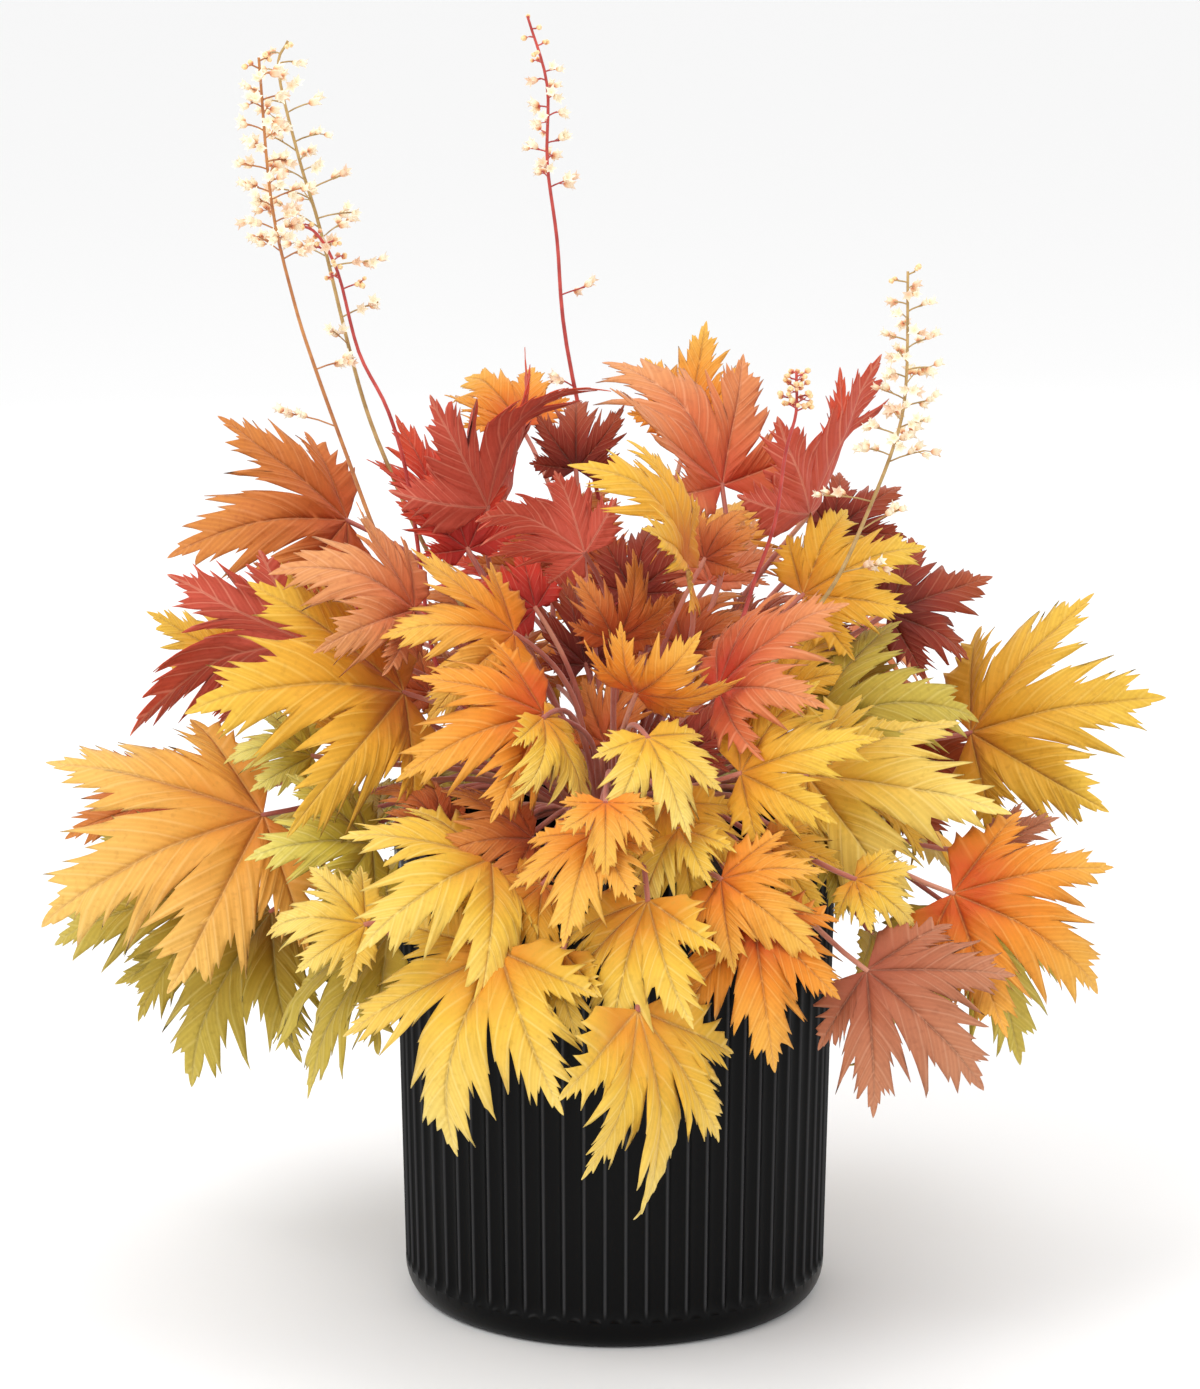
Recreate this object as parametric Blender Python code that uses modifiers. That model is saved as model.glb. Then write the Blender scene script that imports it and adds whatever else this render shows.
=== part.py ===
"""A potted heuchera in metres, +Z up, with its origin at the middle of the pot's base.

The pot is a turned shell with upright hollow flutes. Soil fills it, a woody crown sits in the
soil, and leaves and flower stems grow from the crown. The front of the plant faces -Y.
"""

import math
import random

import bpy
from mathutils import Matrix, Vector

CM = 0.01
GAP = 0.0003
GOLDEN_ANGLE = math.radians(137.5)

# Pot: outer radii at the foot and rim, the wall, and the hollow flutes pressed into its outside
POT_HEIGHT = 0.240
FOOT_RADIUS = 0.1085
RIM_RADIUS = 0.1125
POT_WALL = 0.0065
POT_FLOOR = 0.010
FOOT_BAND = 0.015
FOOT_UNDERCUT = 0.009
FLUTES = 66
FLUTE_DEPTH = 0.0028
FLUTE_END = 0.004
RIM_BAND = 0.012
INNER_SIDES = 36

# Soil, with a hollow for the crown and a plain hole for the crown's root
SOIL_TOP = 0.217
SOIL_SIDES = 24
CROWN_CENTRE = Vector((0.0, 0.0, 0.221))
CROWN_RADIUS = 0.027
ROOT_RADIUS = 0.016
ROOT_DEPTH = 0.040

# Leaf stalks are squarish in section, and blades are thin
STALK_WIDTH = 0.0034
BLADE_THICKNESS = 0.0007
STALK_STEPS = 3
STALK_LIFT = 0.45
LIFT_BAND = 0.07
LOW_LIFT = 8.0
STALK_BEND = 0.42

# Lobes of a leaf: angle from the middle lobe in degrees, then length and half width as shares
# of the middle lobe's length, and the side lobes that its right and left margins have
FULL_LEAF = (
    (-86, 0.60, 0.15, 0, 1),
    (-42, 0.86, 0.17, 2, 1),
    (0, 1.00, 0.19, 2, 2),
    (42, 0.86, 0.17, 1, 2),
    (86, 0.60, 0.15, 1, 0),
)
SMALL_LEAF = (
    (-82, 0.58, 0.16, 0, 1),
    (-41, 0.84, 0.18, 1, 1),
    (0, 1.00, 0.20, 1, 1),
    (41, 0.84, 0.18, 1, 1),
    (82, 0.58, 0.16, 1, 0),
)
# Leaves that hang over the pot hold their lobes closer together
NARROW_LEAF = (
    (-64, 0.66, 0.15, 0, 1),
    (-33, 0.86, 0.15, 1, 1),
    (0, 1.00, 0.17, 1, 1),
    (33, 0.86, 0.15, 1, 1),
    (64, 0.66, 0.15, 1, 0),
)
REAR_LEAF = (
    (-80, 0.58, 0.16, 0, 0),
    (-40, 0.84, 0.18, 0, 0),
    (0, 1.00, 0.20, 0, 0),
    (40, 0.84, 0.18, 0, 0),
    (80, 0.58, 0.16, 0, 0),
)
# A margin with this many side lobes, walked from the sinus to the tip: each side lobe's point
# and the notch beyond it, as shares of the lobe's length and half width
MARGINS = {
    0: ((0.66, 0.80),),
    1: ((0.73, 1.00), (0.61, 0.50)),
    2: ((0.71, 1.00), (0.59, 0.48), (0.89, 0.52), (0.82, 0.26)),
}
SPINE = {0: (0.34, 0.66), 1: (0.34, 0.61), 2: (0.34, 0.59, 0.82)}
SINUS = 0.34
FLANK_ANGLE = math.radians(38)
FLANK_REACH = 0.42

TONES = {
    "red": (0.50, 0.07, 0.04),
    "maroon": (0.26, 0.05, 0.03),
    "ember": (0.58, 0.16, 0.04),
    "salmon": (0.72, 0.28, 0.14),
    "orange": (0.80, 0.33, 0.06),
    "peach": (0.82, 0.46, 0.18),
    "gold": (0.72, 0.42, 0.10),
    "yellow": (0.82, 0.60, 0.16),
    "lime": (0.68, 0.62, 0.22),
    "olive": (0.42, 0.36, 0.10),
    "mauve": (0.50, 0.25, 0.18),
}

# Each node of leaves. A leaf is: where its blade starts and where its middle lobe ends, in
# centimetres; in degrees, how far its face is rolled about that line, how far the blade cups
# across and how far it arches along; its lobes; and its colour. Leaves that share a node share
# a foot on the crown.
LEAVES = {
    "leaf_top_left": [((-6.5, 4, 40), (-3.5, 2, 49), 0, 45, 20, FULL_LEAF, "red")],
    "leaf_top_orange": [((5.5, 5, 41), (1, 8, 49), -10, 30, 20, FULL_LEAF, "salmon")],
    "leaf_top_right": [((10, 5, 39.5), (14, 3, 47.5), 0, 45, 20, FULL_LEAF, "red")],
    "leaf_top_middle": [((-2, 7, 41.5), (-2, 9, 46), 0, 40, 20, SMALL_LEAF, "maroon")],
    "leaf_rear_right": [((4, 13, 43), (5, 16, 48), 0, 20, 20, SMALL_LEAF, "orange")],
    "leaf_rear_left": [((-5, 13, 43), (-8, 17, 46), -10, 20, 20, SMALL_LEAF, "orange")],
    "leaf_right_dark": [((11.5, 11, 37.5), (15.5, 13, 40), 50, -10, 35, SMALL_LEAF, "maroon")],
    "leaf_fan_left": [((-1.5, -4, 39), (-7, -5, 42.5), 60, 30, 25, SMALL_LEAF, "red")],
    "leaf_funnel": [((3.5, -5, 38.5), (0.5, -8, 45.5), -50, 15, 20, FULL_LEAF, "gold")],
    "leaf_far_left": [((-14, 9, 38.5), (-22.5, 4, 39), -60, -10, 35, SMALL_LEAF, "ember")],
    "leaf_left_salmon": [((-10, -3, 36), (-16, -6, 40), -50, -10, 35, SMALL_LEAF, "salmon")],
    "leaves_left": [
        ((-15.5, -1, 34), (-25, 0, 31.5), 60, 20, 20, SMALL_LEAF, "red"),
        ((-20, 0, 21), (-29.5, -2, 19), -60, -10, 35, FULL_LEAF, "olive"),
        ((-17.5, -1, 20), (-22.5, -5, 12), -25, -10, 35, SMALL_LEAF, "olive"),
    ],
    "leaf_left_ember": [((-14.5, 7, 33), (-20.5, 5, 34.5), -50, -10, 35, SMALL_LEAF, "ember")],
    "leaf_left_ember_low": [
        ((-22, 5, 24.5), (-28.5, 2, 23.5), -50, -10, 35, SMALL_LEAF, "ember"),
    ],
    "leaf_left_gold": [((-20, 9, 31), (-24.5, 10, 33), -50, -10, 35, SMALL_LEAF, "gold")],
    "leaf_right_gold": [((9.5, 1, 36), (16, 2, 39), 50, -10, 35, SMALL_LEAF, "gold")],
    "leaf_right_maroon": [((14, 4, 34.5), (19.5, 8, 35.5), 55, -10, 35, SMALL_LEAF, "maroon")],
    "leaf_salmon": [((5, -8, 33), (11, -10, 38), 40, -10, 35, FULL_LEAF, "salmon")],
    "leaf_far_right": [((18.5, 5, 28), (28, 1, 31), 60, -10, 35, FULL_LEAF, "gold")],
    "leaves_right": [
        ((9.5, -2, 29.5), (18.5, -3, 32.5), 50, -10, 35, FULL_LEAF, "olive"),
        ((9.5, -5, 28), (19.5, -7, 26.5), 50, -10, 35, SMALL_LEAF, "yellow"),
        ((17, -2, 20.5), (21, -7, 14), 20, -10, 35, SMALL_LEAF, "olive"),
    ],
    "leaf_right_brown": [((14, 10, 25), (21, 5, 26.5), 50, -10, 35, SMALL_LEAF, "maroon")],
    "leaf_right_mauve": [((19.5, 0, 23), (22.5, -1, 25), 50, -10, 35, SMALL_LEAF, "mauve")],
    "leaves_low_right": [
        ((12, -14, 20.5), (18, -17, 15.5), 50, -10, 35, SMALL_LEAF, "mauve"),
        ((11.5, -12, 24.5), (14.5, -14, 23), 50, -10, 35, SMALL_LEAF, "yellow"),
        ((6, -11, 29.5), (12.5, -13, 32), 60, -10, 35, FULL_LEAF, "gold"),
    ],
    "leaves_centre": [
        ((-3.5, -9, 32), (-10.5, -13, 30.5), -55, -10, 35, FULL_LEAF, "orange"),
        ((-3.5, -10, 32), (-1.5, -11, 27), 0, -25, 50, SMALL_LEAF, "yellow"),
    ],
    "leaves_centre_right": [
        ((1.5, -12, 31.5), (3.5, -15, 27), 10, -10, 35, SMALL_LEAF, "yellow"),
        ((1, -9, 33), (4, -13, 36.5), 140, -10, 35, SMALL_LEAF, "orange"),
    ],
    "leaf_ember": [((0, -6, 35), (1.5, -7, 39.5), 150, -10, 35, SMALL_LEAF, "ember")],
    "leaf_left_orange": [((-5, -4, 35), (-11.5, -7, 36), -50, -10, 35, FULL_LEAF, "orange")],
    "leaf_inner_left": [((-4, 0, 35.5), (-7.5, 2, 37.5), -50, -10, 35, SMALL_LEAF, "red")],
    "leaf_inner_right": [((4.5, 0, 38), (6.5, 1, 41), 25, -10, 35, SMALL_LEAF, "ember")],
    "leaves_big_left": [
        ((-17.5, -5, 26), (-29, -9, 22), -50, -10, 35, FULL_LEAF, "peach"),
        ((-15, -5, 29), (-19.5, -6, 30), -50, -10, 35, SMALL_LEAF, "lime"),
    ],
    "leaves_left_pale": [
        ((-12, -7, 25), (-17.5, -11, 26), -55, -10, 35, SMALL_LEAF, "lime"),
        ((-12, -13, 22.5), (-17.5, -13, 23), -50, -10, 35, SMALL_LEAF, "yellow"),
        ((-11, -11, 21.5), (-18, -6, 15), -50, -10, 35, SMALL_LEAF, "olive"),
    ],
    "leaves_front_left": [
        ((-6, -12, 25.5), (-12, -19, 23.5), -35, -10, 35, FULL_LEAF, "yellow"),
        ((-5.5, -16, 22), (-9.5, -20, 13), -15, -10, 35, FULL_LEAF, "yellow"),
    ],
    "leaves_front_low": [
        ((1, -19, 20), (2.5, -20.5, 9.5), 0, 5, 30, NARROW_LEAF, "yellow"),
        ((-2.5, -16, 22), (-4.5, -18.5, 17), 0, -10, 30, NARROW_LEAF, "yellow"),
        ((1.5, -16, 24.5), (-0.5, -19.5, 17.5), 0, -15, 35, NARROW_LEAF, "yellow"),
        ((-1, -15, 27.5), (-2.5, -19, 23), 0, -10, 35, SMALL_LEAF, "orange"),
        ((-0.5, -15, 29), (-0.5, -18.5, 26.5), 0, 20, 35, SMALL_LEAF, "orange"),
    ],
    "leaves_front_right": [
        ((6.5, -15, 23.5), (7.5, -18, 16.5), 20, -25, 50, FULL_LEAF, "orange"),
        ((5, -14, 25), (9.5, -18, 22.5), 50, -10, 35, SMALL_LEAF, "orange"),
    ],
    "leaves_big_right": [
        ((16.5, -9, 23), (24.5, -12, 19.5), 50, -10, 35, FULL_LEAF, "orange"),
        ((12.5, -9, 21), (14, -9, 13.5), 10, -25, 50, SMALL_LEAF, "olive"),
    ],
    "leaf_back_top_left": [((-3, 13, 35), (-6, 20, 39), 0, 20, 30, REAR_LEAF, "ember")],
    "leaf_back_top_right": [((4, 14, 35), (9, 19, 39), 0, 20, 30, REAR_LEAF, "orange")],
    "leaf_back_left_upper": [((-11, 15, 31), (-18, 20, 32), 0, 0, 35, REAR_LEAF, "ember")],
    "leaf_back_left_lower": [((-12, 11, 23), (-21, 18, 18), 0, 0, 35, REAR_LEAF, "olive")],
    "leaf_back_middle_upper": [((0, 14, 30), (2, 25, 29), 0, 0, 35, REAR_LEAF, "orange")],
    "leaf_back_middle_lower": [((-3, 12, 25), (-3, 21, 16), 0, 0, 35, REAR_LEAF, "yellow")],
    "leaf_back_right_upper": [((11, 20, 29), (18, 20, 30), 0, 0, 35, REAR_LEAF, "salmon")],
    "leaf_back_right_lower": [((12, 15, 22), (20, 21, 17), 0, 0, 35, REAR_LEAF, "gold")],
    "leaf_left_fold": [((-10.5, -4, 32), (-20.5, -10, 33.5), -50, -10, 35, FULL_LEAF, "gold")],
}

# Each flower stem: points from low to high in centimetres, where its flowers start as a share
# of that length, how many flowers it has, and the longest flower stalk
FLOWER_STEMS = {
    "flower_stem_left": (
        ((-10.5, 0.5, 36), (-12, 1, 39), (-13.5, 1.5, 43), (-15, 1, 47.5), (-16, 0.5, 51),
         (-17, 0, 56), (-17.5, 0, 63)), 0.64, 10, 1.7),
    "flower_stem_rear": (
        ((-11, 5, 40.5), (-12.5, 6, 44), (-13.5, 6, 47.5), (-15, 6, 54), (-16, 6, 57.5),
         (-17, 6, 62), (-16.5, 6, 63.5)), 0.50, 10, 2.6),
    "flower_stem_curved": (
        ((-9.5, 3, 33.5), (-10.5, 4, 41), (-11.5, 3.5, 45), (-13, 4, 48), (-14, 4, 52),
         (-15, 3.5, 54), (-16, 3.5, 54.5)), 0.80, 5, 0.9),
    "flower_stem_centre": (
        ((-0.5, 9.5, 38), (-2.5, 10.5, 47.5), (-3, 11, 53), (-3.5, 11, 57), (-3.5, 11, 61),
         (-4.5, 11, 64.5)), 0.66, 8, 0.8),
    "flower_stem_short": (
        ((6.5, -1, 35.5), (7, -0.5, 37), (8, -0.5, 40), (8.5, -0.5, 43.5), (9, -0.5, 45.5),
         (9, -0.5, 47.5)), 0.84, 8, 0.7),
    "flower_stem_right": (
        ((9, -2, 34.5), (11, -1, 37), (12.5, 0, 40), (14, 0, 44), (14.5, 0, 47),
         (14.5, 0, 52.5)), 0.50, 9, 1.7),
}
FLOWER_STEM_RADII = (0.0014, 0.0007)
FLOWER_MOUTH = 0.0021
FLOWER_LENGTH = 0.0045
FLOWER_NECK = 0.0006


def fresh_collection(name, shown=True):
    """A collection in the scene, for the plant itself or for shapes that a Boolean uses up."""
    collection = bpy.data.collections.new(name)
    collection.hide_render = not shown
    bpy.context.scene.collection.children.link(collection)
    return collection


def material(name, colour, roughness, metallic=0.0):
    """A Principled material of one colour, made once and then shared."""
    made = bpy.data.materials.get(name)
    if made is None:
        made = bpy.data.materials.new(name)
        made.use_nodes = True
        shader = made.node_tree.nodes["Principled BSDF"]
        shader.inputs["Base Color"].default_value = (*colour, 1.0)
        shader.inputs["Roughness"].default_value = roughness
        shader.inputs["Metallic"].default_value = metallic
    return made


def place(made, collection, finish=None):
    """Moves an object into one collection, and gives it its material."""
    for old in made.users_collection:
        old.objects.unlink(made)
    collection.objects.link(made)
    if finish:
        made.data.materials.append(finish)
    return made


def applied(made):
    """The object with its modifiers applied, or a curve made a mesh with its caps welded."""
    graph = bpy.context.evaluated_depsgraph_get()
    mesh = bpy.data.meshes.new_from_object(made.evaluated_get(graph))
    if made.type == "CURVE":
        name, collection = made.name, made.users_collection[0]
        bpy.data.objects.remove(made)
        made = place(bpy.data.objects.new(name, mesh), collection)
        weld = made.modifiers.new("Weld", "WELD")
        weld.merge_threshold = 0.00001
        return applied(made)
    made.modifiers.clear()
    made.data = mesh
    return made


def fuse(base, pieces):
    """Joins the pieces to the base with one Boolean union, and removes them."""
    used_up = fresh_collection("cutters_" + base.name, shown=False)
    for piece in pieces:
        place(piece, used_up)
    join = base.modifiers.new("Union", "BOOLEAN")
    join.operation = "UNION"
    join.operand_type = "COLLECTION"
    join.collection = used_up
    join.solver = "MANIFOLD"
    applied(base)
    for piece in list(used_up.objects):
        bpy.data.objects.remove(piece)
    bpy.data.collections.remove(used_up)


def turned(name, profile, sides, collection, finish=None):
    """A closed shape turned about the Z axis from a profile of (radius, height) points."""
    mesh = bpy.data.meshes.new(name)
    points = [(radius, 0.0, height) for radius, height in profile]
    mesh.from_pydata(points, [(i, i + 1) for i in range(len(points) - 1)], [])
    made = place(bpy.data.objects.new(name, mesh), collection, finish)
    screw = made.modifiers.new("Turn", "SCREW")
    screw.steps = screw.render_steps = sides
    screw.use_merge_vertices = True
    screw.merge_threshold = 0.0001
    return applied(made)


def tube(name, points, radii, collection, section=None):
    """A stem along points, with a radius at each: four-sided, or of another curve's section."""
    curve = bpy.data.curves.new(name, "CURVE")
    curve.dimensions = "3D"
    curve.bevel_depth = 1.0
    curve.bevel_resolution = 0
    if section:
        curve.bevel_mode = "OBJECT"
        curve.bevel_object = section
    curve.use_fill_caps = True
    spline = curve.splines.new("POLY")
    spline.points.add(len(points) - 1)
    for knot, point, radius in zip(spline.points, points, radii):
        knot.co = (*point, 1.0)
        knot.radius = radius
    return applied(place(bpy.data.objects.new(name, curve), collection))


def build_pot(collection, cutters):
    """The pot: turned outside, flutes pressed in at every second point round, then hollowed."""
    profile = (
        (0.0, POT_HEIGHT),
        (RIM_RADIUS, POT_HEIGHT),
        (RIM_RADIUS, POT_HEIGHT - RIM_BAND),
        (FOOT_RADIUS, FOOT_BAND + FLUTE_END),
        (FOOT_RADIUS, FOOT_BAND),
        (FOOT_RADIUS - FOOT_UNDERCUT, 0.0),
        (0.0, 0.0),
    )
    finish = material("pot", (0.012, 0.012, 0.013), 0.35)
    pot = turned("pot", profile, 2 * FLUTES, collection, finish)
    for vertex in pot.data.vertices:
        x, y, z = vertex.co
        radius = math.hypot(x, y)
        step = round(math.atan2(y, x) / math.pi * FLUTES)
        fluted = FOOT_BAND < z - 0.001 and z < POT_HEIGHT - 0.001
        if fluted and step % 2 and radius > FOOT_RADIUS - 0.001:
            vertex.co.x *= 1 - FLUTE_DEPTH / radius
            vertex.co.y *= 1 - FLUTE_DEPTH / radius
    slope = (RIM_RADIUS - FOOT_RADIUS) / POT_HEIGHT
    floor_radius = FOOT_RADIUS - POT_WALL + slope * POT_FLOOR
    over = 0.01
    inside = (
        (0.0, POT_HEIGHT + over),
        (RIM_RADIUS - POT_WALL + slope * over, POT_HEIGHT + over),
        (floor_radius, POT_FLOOR),
        (0.0, POT_FLOOR),
    )
    cutter = turned("pot_inside", inside, INNER_SIDES, cutters)
    cutter.hide_render = True
    cutter.display_type = "WIRE"
    hollow = pot.modifiers.new("Hollow", "BOOLEAN")
    hollow.operation = "DIFFERENCE"
    hollow.object = cutter


def inside_radius(height):
    """How far the flat sides of the pot's inside are from its axis at a height."""
    slope = (RIM_RADIUS - FOOT_RADIUS) / POT_HEIGHT
    return (FOOT_RADIUS - POT_WALL + slope * height) * math.cos(math.pi / INNER_SIDES)


def build_soil(collection):
    """The soil fills the pot. It is hollowed for the crown, with a plain hole for its root."""
    hole = ROOT_RADIUS + GAP
    floor = POT_FLOOR + GAP
    profile = (
        (0.0, CROWN_CENTRE.z - ROOT_DEPTH - GAP),
        (hole, CROWN_CENTRE.z - ROOT_DEPTH - GAP),
        (hole, SOIL_TOP - 0.024),
        (CROWN_RADIUS + 0.004, SOIL_TOP),
        (inside_radius(SOIL_TOP) - GAP, SOIL_TOP),
        (inside_radius(floor) - GAP, floor),
        (0.0, floor),
    )
    turned("soil", profile, SOIL_SIDES, collection, material("soil", (0.035, 0.022, 0.014), 0.95))


def build_crown(collection):
    """The woody crown: a dome on a short root that stands in the soil's hole."""
    bpy.ops.mesh.primitive_ico_sphere_add(subdivisions=3, radius=CROWN_RADIUS)
    crown = place(bpy.context.object, collection, material("crown", (0.16, 0.09, 0.05), 0.9))
    crown.name = "crown"
    for vertex in crown.data.vertices:
        point = vertex.co
        if point.z < -0.3 * CROWN_RADIUS:
            deep = min(1.0, (-point.z / CROWN_RADIUS - 0.3) / 0.6)
            width = math.hypot(point.x, point.y)
            narrow = min(1.0, 0.97 * ROOT_RADIUS / width) if width else 1.0
            point.x *= narrow
            point.y *= narrow
            point.z = -0.3 * CROWN_RADIUS - deep * (ROOT_DEPTH - 0.3 * CROWN_RADIUS)
        vertex.co = point + CROWN_CENTRE


def strip(spine, margin):
    """Triangles between a lobe's middle line and one margin, both walked from sinus to tip.

    Both are lists of (share of the lobe's length, point)."""
    triangles = []
    i = j = 0
    while i < len(spine) - 1 or j < len(margin) - 1:
        last_of_margin = j == len(margin) - 1
        notch_reached = last_of_margin or (
            i < len(spine) - 1 and j % 2 == 0 and margin[j][0] >= spine[i + 1][0] - 0.02 and j > 0
        )
        if i < len(spine) - 1 and notch_reached:
            triangles.append((spine[i][1], spine[i + 1][1], margin[j][1]))
            i += 1
        else:
            triangles.append((spine[i][1], margin[j + 1][1], margin[j][1]))
            j += 1
    return [triangle for triangle in triangles if len(set(triangle)) == 3]


def blade_outline(lobes, rng):
    """A flat blade one unit long: points, triangles, its two flank points, and lobe angles."""
    shaped = []
    for angle, length, width, right, left in lobes:
        side = angle != 0
        turn = math.radians(angle + side * rng.uniform(-4, 4))
        shaped.append((turn, length * (rng.uniform(0.88, 1.08) if side else 1), width, right, left))
    points, triangles = [(0.0, 0.0)], []

    def add(along, across, turn):
        points.append((
            along * math.cos(turn) - across * math.sin(turn),
            along * math.sin(turn) + across * math.cos(turn),
        ))
        return len(points) - 1

    first, last = shaped[0], shaped[-1]
    seams = [add(FLANK_REACH * first[1], 0, first[0] - FLANK_ANGLE)]
    for near, far in zip(shaped, shaped[1:]):
        reach = SINUS * math.sqrt(near[1] * far[1]) * rng.uniform(0.9, 1.1)
        seams.append(add(reach, 0, (near[0] + far[0]) / 2))
    seams.append(add(FLANK_REACH * last[1], 0, last[0] + FLANK_ANGLE))

    for index, (turn, length, width, right, left) in enumerate(shaped):
        spine = [(share, add(share * length, 0, turn)) for share in SPINE[max(right, left)]]
        tip = (1.0, add(length, 0, turn))
        for sign, teeth, seam in ((-1, right, seams[index]), (1, left, seams[index + 1])):
            margin = [(SINUS, seam)]
            for share, reach in MARGINS[teeth]:
                margin.append((share, add(share * length, sign * reach * width, turn)))
            row = [(0, spine[0][1], seam)] + strip(spine + [tip], margin + [tip])
            triangles += [t if sign > 0 else t[::-1] for t in row]
    return points, triangles, (seams[0], seams[-1]), [lobe[0] for lobe in shaped]


def bent(point, lobe_angles, lifts, cup, arch):
    """A flat point of a blade in three dimensions: cupped across, arched along, and dished
    between its main veins, with its lobes lifted or hung."""
    along, across = point
    reach, turn = math.hypot(along, across), math.atan2(across, along)
    height = 0.0
    for angle, lift in zip(lobe_angles, lifts):
        share = max(0.0, 1.0 - abs(turn - angle) / math.radians(41))
        height += lift * share * max(0.0, reach - 0.3) ** 2
    nearest = min(abs(turn - angle) for angle in lobe_angles)
    height += 0.14 * reach * min(1.0, nearest / math.radians(21)) * max(0.0, 1.0 - 0.6 * reach)
    if cup:
        bend = 2 * math.radians(cup)
        height += (1 - math.cos(bend * across)) / bend
        across = math.sin(bend * across) / bend
    half = math.radians(arch) / 2
    slope = 2 * half * (0.5 - along)
    scale = 0.5 / math.sin(half)
    ahead = scale * (math.sin(half) - math.sin(slope)) - height * math.sin(slope)
    up = scale * (math.cos(slope) - math.cos(half)) + height * math.cos(slope)
    return ahead, across, up


def leaf_axes(base, tip, roll):
    """A leaf's own directions: to its tip, to its left side, and out of its upper face."""
    ahead = (tip - base).normalized()
    heading = Vector((ahead.x, ahead.y, 0.0)).normalized()
    rise = math.asin(ahead.z)
    up = Vector((0, 0, 1)) * math.cos(rise) - heading * math.sin(rise)
    up = Matrix.Rotation(math.radians(roll), 3, ahead) @ up
    return ahead, up.cross(ahead), up


def crown_exit(base):
    """Where and which way a stalk leaves the crown: outwards, and the lower its blade, the more
    it is lifted first to clear the rim."""
    away = (base - CROWN_CENTRE).normalized()
    lift = STALK_LIFT + LOW_LIFT * max(0.0, POT_HEIGHT + LIFT_BAND - base.z)
    leave = (away + Vector((0, 0, lift))).normalized()
    return CROWN_CENTRE + leave * (CROWN_RADIUS + GAP), leave


def stalk_route(start, leave, base, arrive, steps):
    """A smooth stalk: it leaves the crown one way and comes into the blade another."""
    reach = STALK_BEND * (base - start).length
    bends = (start, start + leave * reach, base - arrive * reach, base)
    weights = (1, 3, 3, 1)
    route = []
    for step in range(steps + 1):
        t = step / steps
        route.append(sum(
            (bend * weight * (1 - t) ** (3 - k) * t ** k
             for k, (bend, weight) in enumerate(zip(bends, weights))), Vector((0, 0, 0))
        ))
    return route


def build_leaf(name, seed, leaf, start, collection):
    """One leaf: a stalk and its blade as one surface, thick at the stalk and thin at the blade."""
    base, tip, roll, cup, arch, lobes, tone = leaf
    base, tip = Vector(base) * CM, Vector(tip) * CM
    size = (tip - base).length
    ahead, side, up = leaf_axes(base, tip, roll)
    rng = random.Random(seed)
    flat, triangles, flanks, lobe_angles = blade_outline(lobes, rng)
    lifts = [rng.uniform(-0.5, 0.1) for _ in lobe_angles]
    placed = []
    for point in flat:
        along, across, height = bent(point, lobe_angles, lifts, cup, arch)
        placed.append(base + size * (ahead * along + side * across + up * height))
    blade_points = len(placed)

    own_start, leave = crown_exit(base)
    arrive = (0.7 * (base - CROWN_CENTRE).normalized() + 0.5 * ahead - 0.25 * up).normalized()
    end = base - 0.6 * STALK_WIDTH * arrive
    route = stalk_route(start or own_start, leave, end, arrive, STALK_STEPS)
    outward = (route[0] - CROWN_CENTRE).normalized()
    lean = outward.angle(route[1] - route[0])
    route[0] += outward * 0.6 * STALK_WIDTH * math.sin(lean)
    around = Vector((-base.y, base.x, 0)).normalized()
    if around.dot(side) < 0:
        around.negate()
    for step, point in enumerate(route):
        near, far = route[max(step - 1, 0)], route[min(step + 1, STALK_STEPS)]
        course = (far - near).normalized()
        lean = around.lerp(side, step / STALK_STEPS)
        across = (lean - course * lean.dot(course)).normalized()
        placed += [point - across * STALK_WIDTH / 2, point + across * STALK_WIDTH / 2]
    for step in range(STALK_STEPS):
        right = blade_points + 2 * step
        triangles += [(right, right + 2, right + 3), (right, right + 3, right + 1)]
    right = blade_points + 2 * STALK_STEPS
    triangles += [(right, 0, right + 1), (0, flanks[1], right + 1), (0, right, flanks[0])]

    mesh = bpy.data.meshes.new(name)
    mesh.from_pydata(placed, [], triangles)
    finish = material("leaf_" + tone, TONES[tone], 0.55)
    made = place(bpy.data.objects.new(name, mesh), collection, finish)
    stalk = made.vertex_groups.new(name="stalk")
    stalk.add(list(range(blade_points, len(placed))), 1.0, "ADD")
    wall = made.modifiers.new("Thickness", "SOLIDIFY")
    wall.thickness = STALK_WIDTH
    wall.offset = 0.0
    wall.vertex_group = "stalk"
    wall.thickness_vertex_group = BLADE_THICKNESS / STALK_WIDTH
    return applied(made)


def build_leaves(collection):
    """Every node of leaves. Leaves that share a node start at one foot, and are fused."""
    seed = 0
    for name, leaves in LEAVES.items():
        start = None
        if len(leaves) > 1:
            exits = [crown_exit(Vector(leaf[0]) * CM)[1] for leaf in leaves]
            leave = sum(exits, Vector((0, 0, 0))).normalized()
            start = CROWN_CENTRE + leave * (CROWN_RADIUS + GAP)
        made = []
        for leaf in leaves:
            made.append(build_leaf(name, seed, leaf, start, collection))
            seed += 1
        if len(made) > 1:
            fuse(made[0], made[1:])


def point_along(points, share):
    """The point at a share of the length of a line of points."""
    spans = [(far - near).length for near, far in zip(points, points[1:])]
    left = share * sum(spans)
    for near, far, span in zip(points, points[1:], spans):
        if left <= span:
            return near.lerp(far, left / span)
        left -= span
    return points[-1]


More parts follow.
